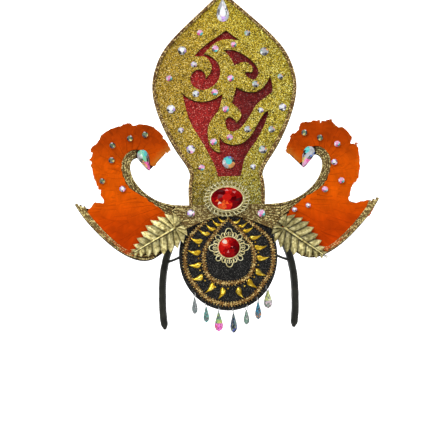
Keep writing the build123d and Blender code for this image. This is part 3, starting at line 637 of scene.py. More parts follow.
def bead(x, up, back, radius, rows=6, sides=8):
    """A small round bead standing on a surface."""
    corners = [(x, up, back)]
    for row in range(1, rows):
        lift = math.pi * row / rows
        for side in range(sides):
            turn = 2 * math.pi * side / sides
            corners.append((x + radius * math.sin(lift) * math.cos(turn),
                            up + radius * math.sin(lift) * math.sin(turn),
                            back + radius - radius * math.cos(lift)))
    corners.append((x, up, back + 2 * radius))
    top = len(corners) - 1
    faces = [(0, 1 + (side + 1) % sides, 1 + side) for side in range(sides)]
    for row in range(rows - 2):
        here = 1 + row * sides
        for side in range(sides):
            after = (side + 1) % sides
            faces.append((here + side, here + after, here + sides + after, here + sides + side))
    last = 1 + (rows - 2) * sides
    faces += [(top, last + side, last + (side + 1) % sides) for side in range(sides)]
    return corners, faces


PICOT_STEP, PICOT_RADIUS = 3.1, 0.75


def picots(line, wide, back):
    """Small loops of gold thread that stand out all along both edges of a braid."""
    spots = spaced(line, int(length_of(line) / PICOT_STEP) + 1)
    across = np.interp(np.linspace(0, 1, len(spots)), np.linspace(0, 1, len(wide)), wide)
    aside = left_of(spots)
    loops = []
    for side in (1, -1):
        for spot, way, half in zip(spots, aside, across / 2):
            x, up = spot + side * way * (half - 0.1)
            corners, faces = bead(x, up, back, PICOT_RADIUS, 4, 6)
            loops.append((corners, faces, [(1.15, 1.15, 1.0)] * len(faces)))
    return loops


RING_BRAID_WIDE = [2.6, 3.4, 4.2, 4.8, 5.0, 5.0, 5.0, 4.8, 4.2, 3.4, 2.6]
for name, lines, node in (("disc_outer_plait", (OUTER_RIGHT, OUTER_LEFT), "disc_outer_braid"),
                          ("disc_inner_plait", (INNER_RIGHT, INNER_LEFT), "disc_inner_braid")):
    line = disc_line(*lines)
    body = [0.72 * wide for wide in RING_BRAID_WIDE]
    front_piece(name, plait(line, body, DISC_FRONT, 1.25)
                + picots(line, RING_BRAID_WIDE, DISC_FRONT), copper, [node])


# Foil leaves: nineteen domed leaves pressed from gold foil, glued between the rings of braid
# with their round ends at the inner one. Tiny gold beads sit between them.
# Columns: across and height in % of the disc's half width and half height, turn, size
FOIL_LEAVES = [
    (-13, 66, 160, 0.62), (-23, 60, 158, 0.7), (-35, 52, 160, 0.78), (-48, 43, 166, 0.85),
    (-64, 29, 174, 1.0), (-68, 7, 182, 1.05), (-67.5, -17, 194, 1.05), (-63, -41, 208, 1.1),
    (-38, -60, 240, 1.1), (-15, -70, 256, 1.1), (22.5, -70, 286, 1.1), (47, -54, 306, 1.1),
    (65, -34, 318, 1.1), (70, -6, 347, 1.05), (66, 14, 352, 1.0), (57, 33, 2, 0.9),
    (42, 47, 10, 0.8), (32, 56, 14, 0.72), (20, 63, 18, 0.62)]
FOIL_LONG, FOIL_WIDE, FOIL_HIGH = 14.4, 7.0, 2.0
FOIL_STEPS, FOIL_ROWS = 15, 9
BLUNT_END, SHARP_END = 0.35, 0.12


def foil_leaf(across, height, turn, size):
    """A domed leaf that bends to one side, round at one end and drawn out at the other."""
    hand = 1 if across > 0 else -1
    x, up = disc_point(across, height)
    shares = np.linspace(0, 1, FOIL_STEPS)
    half = FOIL_WIDE / 2 * size * np.minimum(1, (4 * shares) ** 0.5) * (1 - shares ** 1.8)
    half[0], half[-1] = BLUNT_END, SHARP_END
    out = np.linspace(-1, 1, FOIL_ROWS)
    corners = []
    for share, wide in zip(shares, half):
        px, pup = turned((share - 0.5) * FOIL_LONG * min(1, size + 0.1),
                         hand * (9.5 * (share - 0.38) ** 2 - 1.0) + out * wide,
                         math.radians(turn))
        dome = FOIL_HIGH * (1 - abs(out) ** 2.2) * min(1, 0.3 + wide / (FOIL_WIDE / 2))
        top = np.column_stack([x + px, up + pup, DISC_FRONT + 0.15 + dome])
        corners += [*top, *np.column_stack([top[::-1, :2], np.full(FOIL_ROWS, DISC_FRONT)])]
    return corners, skin(FOIL_STEPS, 2 * FOIL_ROWS)


def metal_material(name, deep, body, bright, rough, scale=260.0, metal=0.85, tinted=False):
    """Thin pressed metal: tarnish in the low parts, and light scratches."""
    paint = Finish(name)
    cloud = paint.noise(scale, 4.0)
    color = paint.ramp(cloud, [(0.32, deep), (0.5, body), (0.68, bright)])
    if tinted:
        color = paint.blend(1.0, color, paint.tint(), "MULTIPLY")
    return paint.done({"Base Color": color, "Metallic": metal,
                       "Roughness": paint.reach(cloud, 0, 1, rough + 0.15, rough - 0.1),
                       "Normal": paint.bump(cloud, 0.15, 0.0003)})


foil = metal_material("Gold foil", (0.50, 0.27, 0.01), (0.80, 0.52, 0.03), (1.0, 0.80, 0.16),
                      rough=0.25)
front_piece("foil_leaves", [foil_leaf(*row) for row in FOIL_LEAVES], foil,
            ["disc_foil_leaves"])
BEADS = [(-61, 19), (-62.5, -5), (-60, -28), (-50, -48), (-28, -61), (-2, -64), (33, -60),
         (54, -43), (63, -20), (64, 4), (58, 24)]
front_piece("disc_beads", [bead(*disc_point(0.96 * a, 0.96 * b), DISC_FRONT, 1.0)
                           for a, b in BEADS], foil)


# Filigree and disc gem: a cast ring of pale gold wire, four pointed fleurs with scrolls
# between, glued on the disc. The red gem is cemented on it.
GEM_MIDDLE, GEM_HALF, WIRE = (1.2, -32.0), 11.75, 0.72
pale_gold = metal_material("Antique gold", (0.42, 0.33, 0.12), (0.80, 0.70, 0.36),
                           (1.0, 0.95, 0.66), rough=0.36, scale=380.0, metal=0.3,
                           tinted=True)
FLEUR = [(-0.2, -3.4), (1.6, -4.7), (4.0, -4.9), (5.6, -3.7), (7.0, -3.3), (8.9, -2.6),
         (9.9, -1.0), (9.9, 1.0), (8.9, 2.6), (7.0, 3.3), (5.6, 3.7), (4.0, 4.9),
         (1.6, 4.7), (-0.2, 3.4)]
SCROLLS = [(23, 2.7), (34.5, 1.9), (45, 3.7), (55.5, 1.9), (67, 2.7)]


def ring_path(x, up, depth, wide, tall, count, turn=0.0):
    angles = round_angles(count)
    px, pup = turned(wide * np.cos(angles), tall * np.sin(angles), turn)
    return np.column_stack([x + px, up + pup, np.full(count, depth)])


def shaded(part):
    """A cast part whose faces carry painted shade, darker the more they turn from the front."""
    corners, faces = np.asarray(part[0], float), part[1]
    tints = []
    for face in faces:
        a, b, c = corners[list(face[:3])]
        normal = np.cross(b - a, c - a)
        front = abs(normal[2]) / (float(np.linalg.norm(normal)) + 1e-9)
        shade = 0.03 + 1.15 * front ** 2.4
        tints.append((shade, shade, shade * 0.92))
    return corners, faces, tints


wires = [tube(ring_path(*GEM_MIDDLE, DISC_FRONT + 1.0, GEM_HALF + 0.4, GEM_HALF + 0.4, 48),
              1.05, 8, closed=True)]
for quarter in range(4):
    turn = math.pi / 2 * quarter
    for points, thick in ((smooth_line(FLEUR, 0.7), WIRE),
                          (smooth_line([(0, 0), (3, 0), (6.4, 0)]), 0.8),
                          (smooth_line([(2.0, -1.2), (3.6, -2.5), (5.6, -1.4)], 0.7), 0.5),
                          (smooth_line([(2.0, 1.2), (3.6, 2.5), (5.6, 1.4)], 0.7), 0.5)):
        flat = np.column_stack(turned(points[:, 0] + GEM_HALF, points[:, 1], turn)) + GEM_MIDDLE
        wires.append(tube(np.column_stack([flat, np.full(len(flat), DISC_FRONT + WIRE)]), thick))
    for angle, size in SCROLLS:
        angle = turn + math.radians(angle)
        way = np.array([math.cos(angle), math.sin(angle)])
        out = GEM_HALF + 0.8 + size
        wires.append(tube(ring_path(*(GEM_MIDDLE + out * way), DISC_FRONT + WIRE, size,
                                    size * 0.72, 14, angle), WIRE * 0.9, closed=True))
        wires.append(bead(*(GEM_MIDDLE + (out + size - 0.2) * way), DISC_FRONT, 0.85))
front_piece("filigree", [shaded(wire) for wire in wires], pale_gold,
            ["disc_setting"])
BLOOD, CRIMSON, SCARLET, FLAME, WINE = (0.10, 0.0, 0.002), (0.34, 0.003, 0.004), \
    (0.62, 0.008, 0.006), (0.90, 0.12, 0.02), (0.20, 0.001, 0.004)
red_gem = stone_material("Red gem", 0.0, [(0.3, (1, 1, 1)), (0.5, (0.75, 0.6, 0.6)),
                                          (0.7, (1, 0.9, 0.9))], 0.7, 0.04)
# Colours of the painted highlights and reflections on the red gems.
GLEAM, EMBER, ROSY = (1.0, 0.80, 0.62), (0.85, 0.05, 0.015), (0.70, 0.20, 0.20)


def oval_outline(middle, wide, tall, sides):
    angles = round_angles(sides, 0.5)
    return np.column_stack([middle[0] + wide / 2 * np.cos(angles),
                            middle[1] + tall / 2 * np.sin(angles)])


def catch_light(part, spots):
    """The facets round each spot, and at least the nearest, take its colour as a painted highlight
    or reflection.
    """
    corners, faces, colors = part
    middles = np.array([np.mean(corners[list(face)], axis=0) for face in faces[:-1]])
    for x, up, around, color in spots:
        off = np.hypot(middles[:, 0] - x, middles[:, 1] - up)
        for facet in np.nonzero(off <= max(around, off.min() + 0.01))[0]:
            colors[int(facet)] = color
    return part


# The disc gem's hues go round from the start angle as painted light and shade, lightest at the
# upper left.
disc_gem = cut_gem(oval_outline(GEM_MIDDLE, 2 * GEM_HALF, 2 * GEM_HALF, 18), GEM_MIDDLE,
                   DISC_FRONT + 1.6, [(0, 1, 0), (1.2, 1, 0), (3.2, 0.86, 1), (4.8, 0.62, 0),
                                      (5.7, 0.36, 1), (6.0, 0.16, 0)],
                   [SCARLET, SCARLET, CRIMSON, CRIMSON, BLOOD, WINE, CRIMSON, SCARLET], 2.6,
                   SCARLET)
# Painted highlights and reflections on the disc gem.
disc_gem = catch_light(disc_gem, [(-3.4, -27.4, 4.4, EMBER), (-3.7, -26.9, 2.3, GLEAM),
                                  (-3.7, -26.6, 1.2, WHITE), (0.1, -38.2, 0, ROSY),
                                  (4.6, -33.0, 0, ROSY)])
front_piece("disc_red_gem", [disc_gem], red_gem, ["disc_gem"], smooth=False)


# Oval setting and its gem: pale gold openwork, a plain bezel with slanted bars out to a rope
# rim. The red gem is cemented in it.
OVAL_MIDDLE, OVAL_WIDE = (0.0, 22.0), 51.5
OVAL_GEM_WIDE, OVAL_GEM_TALL, OVAL_BARS, OVAL_STEPS = 35.0, 25.5, 30, 72


def oval_ring(out, depth):
    """A ring path that lies out from the gem's edge."""
    return ring_path(*OVAL_MIDDLE, depth, OVAL_GEM_WIDE / 2 + out, OVAL_GEM_TALL / 2 + out,
                     OVAL_STEPS)


rim_out = (OVAL_WIDE - OVAL_GEM_WIDE) / 2
oval_parts = [tube(oval_ring(0.8, BRAID_FRONT + 1.2), 1.15, 8, closed=True),
              tube(oval_ring(2.5, BRAID_FRONT + 0.8), 0.5, closed=True),
              tube(oval_ring(rim_out - 1.7, BRAID_FRONT + 0.6), 0.5, closed=True)]
for bar in range(OVAL_BARS):
    path = []
    for out, late, lift in ((2.2, 0.0, 0.8), (0.55 * rim_out, 0.45, 1.1),
                            (rim_out - 0.9, 1.0, 0.8)):
        turn = 2 * math.pi * (bar + late / 2) / OVAL_BARS
        path.append((OVAL_MIDDLE[0] + (OVAL_GEM_WIDE / 2 + out) * math.cos(turn),
                     OVAL_MIDDLE[1] + (OVAL_GEM_TALL / 2 + out) * math.sin(turn),
                     BRAID_FRONT + lift))
    oval_parts += [tube(path, (0.6, 0.8, 0.95)), bead(*path[-1][:2], BRAID_FRONT, 1.2)]
front_piece("oval_openwork", [shaded(part) for part in oval_parts], pale_gold,
            ["oval_setting"])
# The oval gem's hues go round from the start angle as painted light and shade, darkest at the
# upper left and brightest at the lower left.
oval_gem = cut_gem(oval_outline(OVAL_MIDDLE, OVAL_GEM_WIDE, OVAL_GEM_TALL, 16), OVAL_MIDDLE,
                   BRAID_FRONT + 1.6, [(0, 1, 0), (1.3, 1, 0), (3.6, 0.84, 1),
                                       (5.4, 0.60, 0), (6.5, 0.30, 1)],
                   [BLOOD, WINE, CRIMSON, FLAME, SCARLET, WINE, BLOOD, CRIMSON, SCARLET,
                    CRIMSON], 2.2, (0.60, 0.012, 0.008))
# Painted highlights and reflections on the oval gem.
oval_gem = catch_light(oval_gem, [(-8.6, 17.2, 0, FLAME), (-6.4, 15.2, 0, EMBER),
                                  (-11.5, 19.0, 0, FLAME), (1.0, 30.0, 0, ROSY),
                                  (8.5, 26.5, 0, ROSY), (5.5, 15.5, 0, EMBER),
                                  (-8.0, 16.0, 0, GLEAM)])
front_piece("oval_red_gem", [oval_gem], red_gem, ["oval_gem"], smooth=False)


# Winged collar: one board of brown foam from wing tip to wing tip. Rows of bronze braid cover
# the collar, the inside of each curl, the pointed tips and the lower rim.
dress("wing_board", glitter_foam(
    "Board foam", (0.012, 0.006, 0.002), (0.04, 0.02, 0.007), (0.2, 0.13, 0.05),
    (0.05, 0.03, 0.012), glint_cutoff=0.95))
bronze = thread_material("Bronze braid", (0.060, 0.030, 0.008), (0.48, 0.31, 0.095),
                         (1.0, 0.82, 0.34), glint_fleck_cutoff=0.70)
WING_HALF, WING_FOOT, WING_RISE = 168.0, -45.0, 151.0
COLLAR_TOP = [(-34.5, 41.2), (-25, 40.7), (0, 40.7), (25, 40.7), (34.5, 41.2)]
COLLAR_FOOT = [(-34.5, 18), (-29.8, 21.2), (-14.3, 29.1), (0, 32.5), (14.3, 29.1),
               (29.8, 21.2), (34.5, 18)]
CURL_OUTSIDE = [(34.8, 29), (38.5, 33.5), (45.6, 38), (52.2, 41.8), (59, 47.6),
                (64.2, 55.5), (68.2, 64.5), (69, 73), (66.8, 79.6), (63, 82.8), (59.3, 83.4)]
CURL_INSIDE = [(34.8, 41.3), (44, 44), (52.4, 49.7), (59.8, 58.9), (63.1, 68.9),
               (62.1, 75.5), (59.7, 77.6)]
WING_RIM = [(100, 43.7), (93.2, 31.8), (83.9, 19.9), (75, 10.6), (67.3, 4.6), (55.7, 0),
            (48.5, 1.3)]
RIM_INSIDE = [(92.5, 40.6), (90.0, 34.8), (81.0, 23.0), (72.6, 14), (65.6, 8.4), (56, 6.0),
              (47.5, 7.5)]


def wing_point(across, height):
    return (across / 100 * WING_HALF, WING_FOOT + height / 100 * WING_RISE)


def braid_rows(first, last, count, depth, fill=0.92):
    """Rows of plait that fill the strip between two edge lines."""
    near = smooth_line([wing_point(*row) for row in first])
    far = smooth_line([wing_point(*row) for row in last])
    steps = max(len(near), len(far))
    near, far = spaced(near, steps), spaced(far, steps)
    gap = np.linalg.norm(far - near, axis=1) / count
    rows = []
    for row in range(count):
        share = (row + 0.5) / count
        rows += plait(near + share * (far - near), gap[::max(1, steps // 12)] * fill, depth)
    return rows


def mirrored(parts):
    """The same parts on the left: x turned round, and each face with it."""
    return [(np.asarray(part[0]) * (-1, 1, 1), [tuple(reversed(face)) for face in part[1]],
             *part[2:]) for part in parts]


SIDES = (("right", list), ("left", mirrored))
front_piece("collar_rows", braid_rows(COLLAR_TOP, COLLAR_FOOT, 10, BOARD_FRONT), bronze,
            ["collar_braid"])
curl_rows = braid_rows(CURL_INSIDE, CURL_OUTSIDE, 4, BOARD_FRONT, 0.74)
rim_rows = braid_rows(WING_RIM, RIM_INSIDE, 3, BOARD_FRONT, 0.74)
for side, flip in SIDES:
    front_piece("curl_rows_" + side, flip(curl_rows), bronze,
                ["curl_braid_" + side])
    front_piece("rim_rows_" + side, flip(rim_rows), bronze,
                ["rim_braid_" + side])


# Wing feathers: broad flat orange feathers, glued in overlapping layers from the curl
# outwards, then trimmed by hand along the wing's edge, which left it nicked and uneven.
# Columns: root and tip, each across and height in % of the wing's half width and its rise
FEATHER_LINES = [
    (54, 78.5, 37, 81), (54, 80.5, 37.5, 86), (54.5, 81.5, 43, 95), (58, 83.5, 49.5, 103),
    (61.5, 83.5, 58, 108), (65, 82, 67.5, 108), (67.5, 79, 77, 103), (69, 75, 86, 93),
    (69.5, 70, 91, 81), (69, 64.5, 91, 70), (67, 58.5, 89, 59), (64, 52.5, 85, 49.5),
    (60, 47.5, 83, 42), (55, 43.5, 92, 40), (50, 41, 95, 36), (45, 38.5, 86, 22),
    (40.5, 35, 76, 12), (38, 30, 67, 6), (36.5, 24, 57, 3), (36, 18, 50, 3.5)]
# Columns: step between feathers, first and last line, reach and stagger in % of the line
FEATHER_LAYERS = [(0.5, 0, 19, 112, 5), (0.75, 0.25, 18.5, 78, 8), (0.9, 0.5, 18, 50, 6)]
FEATHER_WIDE = 26.0
BARBS, BARB_STEPS, SHAFT_STEPS, SHAFT_SHARE = 30, 5, 9, 0.93
CURL_END, HOOK_END, BROWN_REACH = (80.0, 64.0), (63.5, 79.5), 7.5

# The trimmed edge of each wing, read in the photograph's pixels from the hook round the curl
# to the foot, and the view that it is read from
VIEW_WIDE, CAMERA_AWAY, PHOTO_WIDE, ROLL = 473.0, 2400.0, 430, math.radians(1.2)
AIM = (-13.5, -30.0, 8.0)
EDGE_RIGHT = [
    (303.5, 168), (298.8, 161.8), (291.5, 155.8), (284.4, 150.6), (287, 144.5), (290.2, 134),
    (295.5, 131.5), (298.4, 130), (299.4, 124), (304.5, 119.8), (308, 121.5), (313.7, 119.5),
    (319.6, 119.2), (320.3, 123.8), (321.2, 119.8), (329, 118.6), (331.2, 117.9), (332, 121.8),
    (339.2, 127), (341.5, 126), (347.3, 130), (352.4, 136.2), (351.3, 141.4), (349.8, 143.6),
    (358.4, 141.4), (358.6, 147), (359.6, 156.6), (360.3, 166.8), (358.6, 177), (355, 183),
    (351.4, 187.2), (350.3, 191.3), (349.6, 195), (347.6, 198.8), (349.8, 202), (355.5, 203),
    (361.6, 200.4), (368.5, 199.2), (372.8, 200.4), (374.6, 205), (373.4, 209.4), (371, 210.8),
    (371, 214.2), (366.4, 217.8), (362.2, 221), (359.4, 222.6), (359.4, 225.6), (353.8, 229),
    (347.2, 234), (348.4, 236.6), (341.2, 240.6), (336, 246.4), (330.8, 249.6), (327, 252.4)]
EDGE_LEFT = [
    (150.5, 170), (155.8, 165), (159.2, 159.2), (163.8, 154.6), (171.4, 150.4), (168.2, 143.6),
    (163.9, 136.6), (158.8, 130.5), (151.6, 125.4), (141.4, 124.2), (135.5, 124.2),
    (134.4, 126.2), (129.2, 122), (124.2, 122.6), (120.2, 126), (115.8, 126.6), (108.8, 129.6),
    (102.8, 133.6), (98.8, 138.4), (95.6, 143.8), (90.6, 147.6), (90, 151.8), (92.4, 154),
    (88.8, 156), (88.2, 159), (92, 162.2), (90.2, 165), (92.4, 169.2), (92.5, 175.4),
    (94.6, 180.6), (96.6, 185.6), (99.8, 190.8), (100.6, 195.8), (103.8, 200), (103.6, 202.6),
    (98.6, 202.2), (94.6, 202), (90.4, 206.8), (88.4, 210), (83.2, 215.8), (88, 220.2),
    (94.2, 225), (93.8, 228.2), (99.6, 232.6), (104.4, 236.4), (104.8, 239.6), (109.6, 240.8),
    (112.6, 243.8), (118, 246.8), (119.2, 250), (126.4, 254.8), (131.8, 256.6)]


def seen_at(px, py, depth):
    """The place on a layer of the leaning front that shows at a pixel: (across, up)."""
    right, high = turned((px / PHOTO_WIDE - 0.5) * VIEW_WIDE,
                         (0.5 - py / PHOTO_WIDE) * VIEW_WIDE, -ROLL)
    eye = Vector((AIM[0], AIM[1] - CAMERA_AWAY, AIM[2]))
    spot = Vector((AIM[0] + right, AIM[1], AIM[2] + high))
    seat = Vector((0, -SEAT_BACK, 0))
    ray = spot - eye
    hit = eye + ray * ((seat + depth * FRONT_WAY - eye).dot(FRONT_WAY) / ray.dot(FRONT_WAY))
    return hit.x, (hit.y - seat.y) * math.sin(LEAN) + hit.z * math.cos(LEAN)


EDGE_STEP, EDGE_WAVE, NICK_SHARE = 0.8, 0.28, 0.06


def ragged(edge, seed):
    """The trimmed edge with the fine waves and the nicks that the barbs leave in it."""
    draw = random.Random(seed)
    line = np.asarray(edge)
    line = spaced(line, int(length_of(line) / EDGE_STEP))
    off, wave = [], 0.0
    for _ in line:
        wave = 0.6 * wave + draw.gauss(0, EDGE_WAVE)
        off.append(wave - (draw.uniform(0.8, 2.4) if draw.random() < NICK_SHARE else 0.0))
    return line + left_of(line) * np.array(off)[:, None]


def not_zero(values):
    return np.where(np.abs(values) < 1e-9, 1e-9, values)


def across_of(first, second):
    """The area that two flat steps span, with its sign."""
    return first[..., 0] * second[..., 1] - first[..., 1] * second[..., 0]


def trim(start, ends, edge):
    """How much of each barb from its foot to its end is left inside the trimmed edge."""
    side = np.roll(edge, -1, axis=0) - edge
    run = (ends - start)[:, None]
    off = edge - start[:, None]
    spread = not_zero(across_of(run, side))
    gone, on = across_of(off, side) / spread, across_of(off, run) / spread
    hits = (gone >= 0) & (gone <= 1) & (on >= 0) & (on <= 1)
    return np.where(hits, gone, 1.0).min(axis=1)


def inside(points, edge):
    """Which points lie inside a closed edge."""
    near_x, near_up = edge.T
    far_x, far_up = np.roll(edge, -1, axis=0).T
    x, up = points[:, 0, None], points[:, 1, None]
    at = near_x + (up - near_up) / not_zero(far_up - near_up) * (far_x - near_x)
    return (((near_up > up) != (far_up > up)) & (x < at)).sum(axis=1) % 2 == 1


def span_off(point, start, end):
    """How far a point lies from the straight span between two others."""
    way_x, way_up = end[0] - start[0], end[1] - start[1]
    along = ((point[0] - start[0]) * way_x + (point[1] - start[1]) * way_up) \
        / (way_x ** 2 + way_up ** 2)
    along = min(1.0, max(0.0, along))
    return math.hypot(point[0] - start[0] - along * way_x, point[1] - start[1] - along * way_up)


def quad(a, columns, flip):
    """A face of a grid from its first corner, turned over if flipped."""
    b = a + columns
    return (a, a + 1, b + 1, b) if flip else (a, b, b + 1, a + 1)


def feather(root, tip, wide, depth, edge, seed):
    """A broad trimmed feather: its barbs, which run out from the shaft, first aslant and then
    along it, and the shaft. Tints: shade of the barb, how near its end, whole feather's."""
    draw = random.Random(seed)
    root, tip = np.asarray(root), np.asarray(tip)
    long = float(np.linalg.norm(tip - root))
    way = (tip - root) / long
    aside = np.array([-way[1], way[0]])
    bend = draw.uniform(-0.06, 0.06) * long
    whole = draw.random()
    slope = draw.uniform(0.3, 0.6) * (1 if seed % 2 else -1)
    corners, faces, tints = [], [], []
    for side in (1, -1):
        feet, ends = [], []
        slip = 0.0
        for barb in range(BARBS + 1):
            share = barb / BARBS
            foot = SHAFT_SHARE * share * long
            end = long * (0.10 + 0.90 * share ** 0.85)
            far = min(1.0, end / long)
            half = wide / 2 * min(1.0, 0.5 + 1.6 * far) * math.sqrt(max(0.0, 1 - far ** 6))
            if draw.random() < 0.10:
                slip = draw.uniform(-0.02, 0.03) * long
            end += slip * share + draw.uniform(-0.006, 0.006) * long
            feet.append(root + way * foot + aside * bend * math.sin(math.pi * share))
            ends.append(root + way * end + side * aside * half
                        + aside * bend * math.sin(math.pi * far))
        feet, ends = np.array(feet), np.array(ends)
        kept = trim(feet, ends, edge) * (1 - 0.02 * np.array([draw.random() for _ in feet]))
        kept *= np.where(inside(feet, edge), 1.0, 0.0)
        start = len(corners)
        for foot, end, left in zip(feet, ends, kept):
            for step in range(BARB_STEPS + 1):
                out = step / BARB_STEPS * left
                spot = foot + out * (end - foot)
                lift = 0.5 * (1 - out) + slope * side * out * 0.7
                corners.append((spot[0], spot[1], depth + 0.6 + lift))
        shade = 0.5
        for barb in range(1, BARBS + 1):
            shade = 0.65 * shade + 0.35 * draw.random()
            if min(kept[barb], kept[barb - 1]) < 0.01:
                continue
            for step in range(BARB_STEPS):
                a = start + (barb - 1) * (BARB_STEPS + 1) + step
                faces.append(quad(a, BARB_STEPS + 1, side < 0))
                thin = ((step + 0.5) / BARB_STEPS) ** 4 if kept[barb] < 0.97 else 0.0
                faded = 1.5 - 1.5 * span_off(corners[a], CURL_END, HOOK_END) / BROWN_REACH
                tints.append((shade, max(thin, faded * (0.6 + 0.8 * shade)), whole))
    share = np.linspace(0, SHAFT_SHARE, SHAFT_STEPS)
    spine = (root + way * share[:, None] * long
             + aside * bend * np.sin(math.pi * share / SHAFT_SHARE)[:, None])
    last = max(2, int(inside(spine, edge).sum()))
    spine = np.column_stack([spine[:last], np.full(last, depth + 1.1)])
    cord, rims = tube(spine, np.linspace(0.34, 0.10, SHAFT_STEPS)[:last], 5)
    return [(corners, faces, tints), (cord, rims, [(-0.4, 0.0, whole)] * len(rims))]


def feather_material():
    """Dyed orange feather whose colour goes by height: burnt orange on the curl, bright in the
    middle, red-orange at the foot, streaked along the barbs and thin and ochre at the trimmed
    ends."""
    paint = Finish("Orange feather")
    red, green, blue = paint.parts(paint.tint())
    body = paint.ramp(paint.reach(paint.axis("Z"), -0.045, 0.11),
                      [(0.0, (0.47, 0.034, 0.0)), (0.30, (0.58, 0.056, 0.0)),
                       (0.50, (0.70, 0.096, 0.0005)), (0.72, (0.64, 0.084, 0.0005)),
                       (0.88, (0.42, 0.046, 0.0005)), (1.0, (0.36, 0.040, 0.0005))])
    streak = paint.math("MULTIPLY_ADD", red, 0.34, 0.72)
    tone = paint.math("MULTIPLY_ADD", blue, 0.16, streak)
    patch = paint.math("MULTIPLY_ADD", paint.noise(55.0, 3.0), 0.7, -0.35)
    tone = paint.math("ADD", tone, patch)
    grey = paint.add("CombineColor", {"Red": tone, "Green": tone, "Blue": tone})["Color"]
    dyed = paint.blend(1.0, body, grey, "MULTIPLY")
    thin = paint.math("MULTIPLY", green, 0.55)
    return paint.done({"Base Color": paint.blend(thin, dyed, (0.44, 0.17, 0.022)),
                       "Roughness": 0.8, "Specular IOR Level": 0.03})


orange = feather_material()


def between(rows, place):
    low = min(int(place), len(rows) - 2)
    share = place - low
    return [a + share * (b - a) for a, b in zip(rows[low], rows[low + 1])]


INNER_BOUND = [(57.0, -24.0), (54.0, 6.0), (62.0, 12.0), (92.0, 30.0), (106.0, 50.0),
               (109.0, 68.0), (103.0, 76.0), (90.0, 68.0)]
for hand, ((side, flip), edge) in enumerate(zip(SIDES, (EDGE_RIGHT, EDGE_LEFT))):
    trimmed = [seen_at(px, py, BOARD_FRONT + 2) for px, py in edge]
    trimmed = ragged([(abs(x), up) for x, up in trimmed], 50 + hand)
    trimmed = np.vstack([trimmed, INNER_BOUND])
    feathers = []
    for layer, (pitch, first, last, reach_out, stagger) in enumerate(FEATHER_LAYERS):
        for number in range(int((last - first) / pitch) + 1):
            row = between(FEATHER_LINES, first + number * pitch)
            root, tip = np.array(wing_point(*row[:2])), np.array(wing_point(*row[2:]))
            seed = 1000 * hand + 100 * layer + number
            share = (reach_out - stagger * (number % 2)) / 100
            share *= random.Random(seed).uniform(0.95, 1.0)
            feathers += feather(root, root + share * (tip - root), FEATHER_WIDE,
                                BOARD_FRONT + 0.5 * layer, trimmed, seed)
    front_piece("feathers_" + side, flip(feathers), orange,
                ["wing_feathers_" + side], smooth=False)


# Stones on the wings and the collar, of the same cut as the crest's, and the large pear stone
# at each curl's end.
CURL_MIDDLE = wing_point(53.3, 75.2)
CURL_STONE_WIDE, CURL_STONE_LONG, CURL_STONE_TURN = 12.5, 26.0, -205
curl_stone = pear_outline(*CURL_MIDDLE, CURL_STONE_WIDE, CURL_STONE_LONG, CURL_STONE_TURN)
# Facet hues of the curl pears: painted reflections among them, going round from the start angle as
# painted light and shade.
CURL_HUES = {"right": [SILVER, TEAL, DARK, SILVER, SMOKE, GOLDEN, PINK, ROSE, SMOKE, DARK,
                       BLUE, SILVER],
             "left": [GREEN, TEAL, SMOKE, DARK, MOSS, DARK, ROSE, AMBER, SMOKE, DARK, MOSS,
                      SILVER]}
CURL_TABLES = {"right": SILVER, "left": GREEN}
for side, flip in SIDES:
    stones = []
    for x, up, back, wide in seats("wing_stones_" + side):
        if side == "left":
            hues = LILAC_STONE if up < 45 else MOSS_STONE
        else:
            hues = MOSS_STONE if up > 88 and x < 110 else chance.choice(
                [PINK_STONE, LILAC_STONE])
        stones.append(cut_round(x, up, back, wide, STONE_HIGH, hues))
    front_piece("wing_small_stones_" + side, stones, rainbow,
                ["wing_stones_" + side], smooth=False)
    pear = [cut_gem(curl_stone, CURL_MIDDLE, BOARD_FRONT,
                    [(0, 1, 0), (2.4, 1, 0), (4.0, 0.84, 1), (5.2, 0.62, 0), (6.0, 0.34, 1)],
                    CURL_HUES[side], 1.0, CURL_TABLES[side])]
    front_piece("curl_pear_" + side, flip(pear), rainbow,
                ["curl_stone_" + side], smooth=False)


# Stamped leaves: antique gold sheet pressed with a rib, a vein to each tooth and a dark valley
# between each two, glued over the roots of the lower feathers, each at its own slant.
LEAF_BACK, LEAF_LONG, LEAF_THICK = 17.6, 57.0, 0.5
# The root's place across and up, the turn and the brightness, a painted light that puts the right
# leaf in shade and the left one in light. Then each tooth: far, out
LEAF_PLACES = {"right": (62.0, -12.5, -37.0, 0.64), "left": (57.5, -10.3, -30.6, 1.16)}
LEAF_TEETH = [(-9, 6), (-7.5, 13.5), (0, 18.5), (8.5, 20.5), (17, 21), (25, 19), (33, 15.5),
              (40.5, 12), (47.5, 8), (53, 4.6), (57, 1.0)]
NOTCH, LOBE_ROWS, LOBE_STEPS, SAW_TEETH, PEAK, RIB_STEPS = 4.4, 18, 9, 3, 0.62, 12
stamped_gold = metal_material("Stamped gold", (0.24, 0.185, 0.050), (0.68, 0.58, 0.23),
                              (1.0, 0.90, 0.46), rough=0.36, scale=340.0, metal=0.5,
                              tinted=True)


def off_vein(share):
    """Where a place across a lobe lies: 0 on its vein, -1 and 1 in the valleys beside it."""
    return (share - PEAK) / (1 - PEAK if share > PEAK else PEAK)


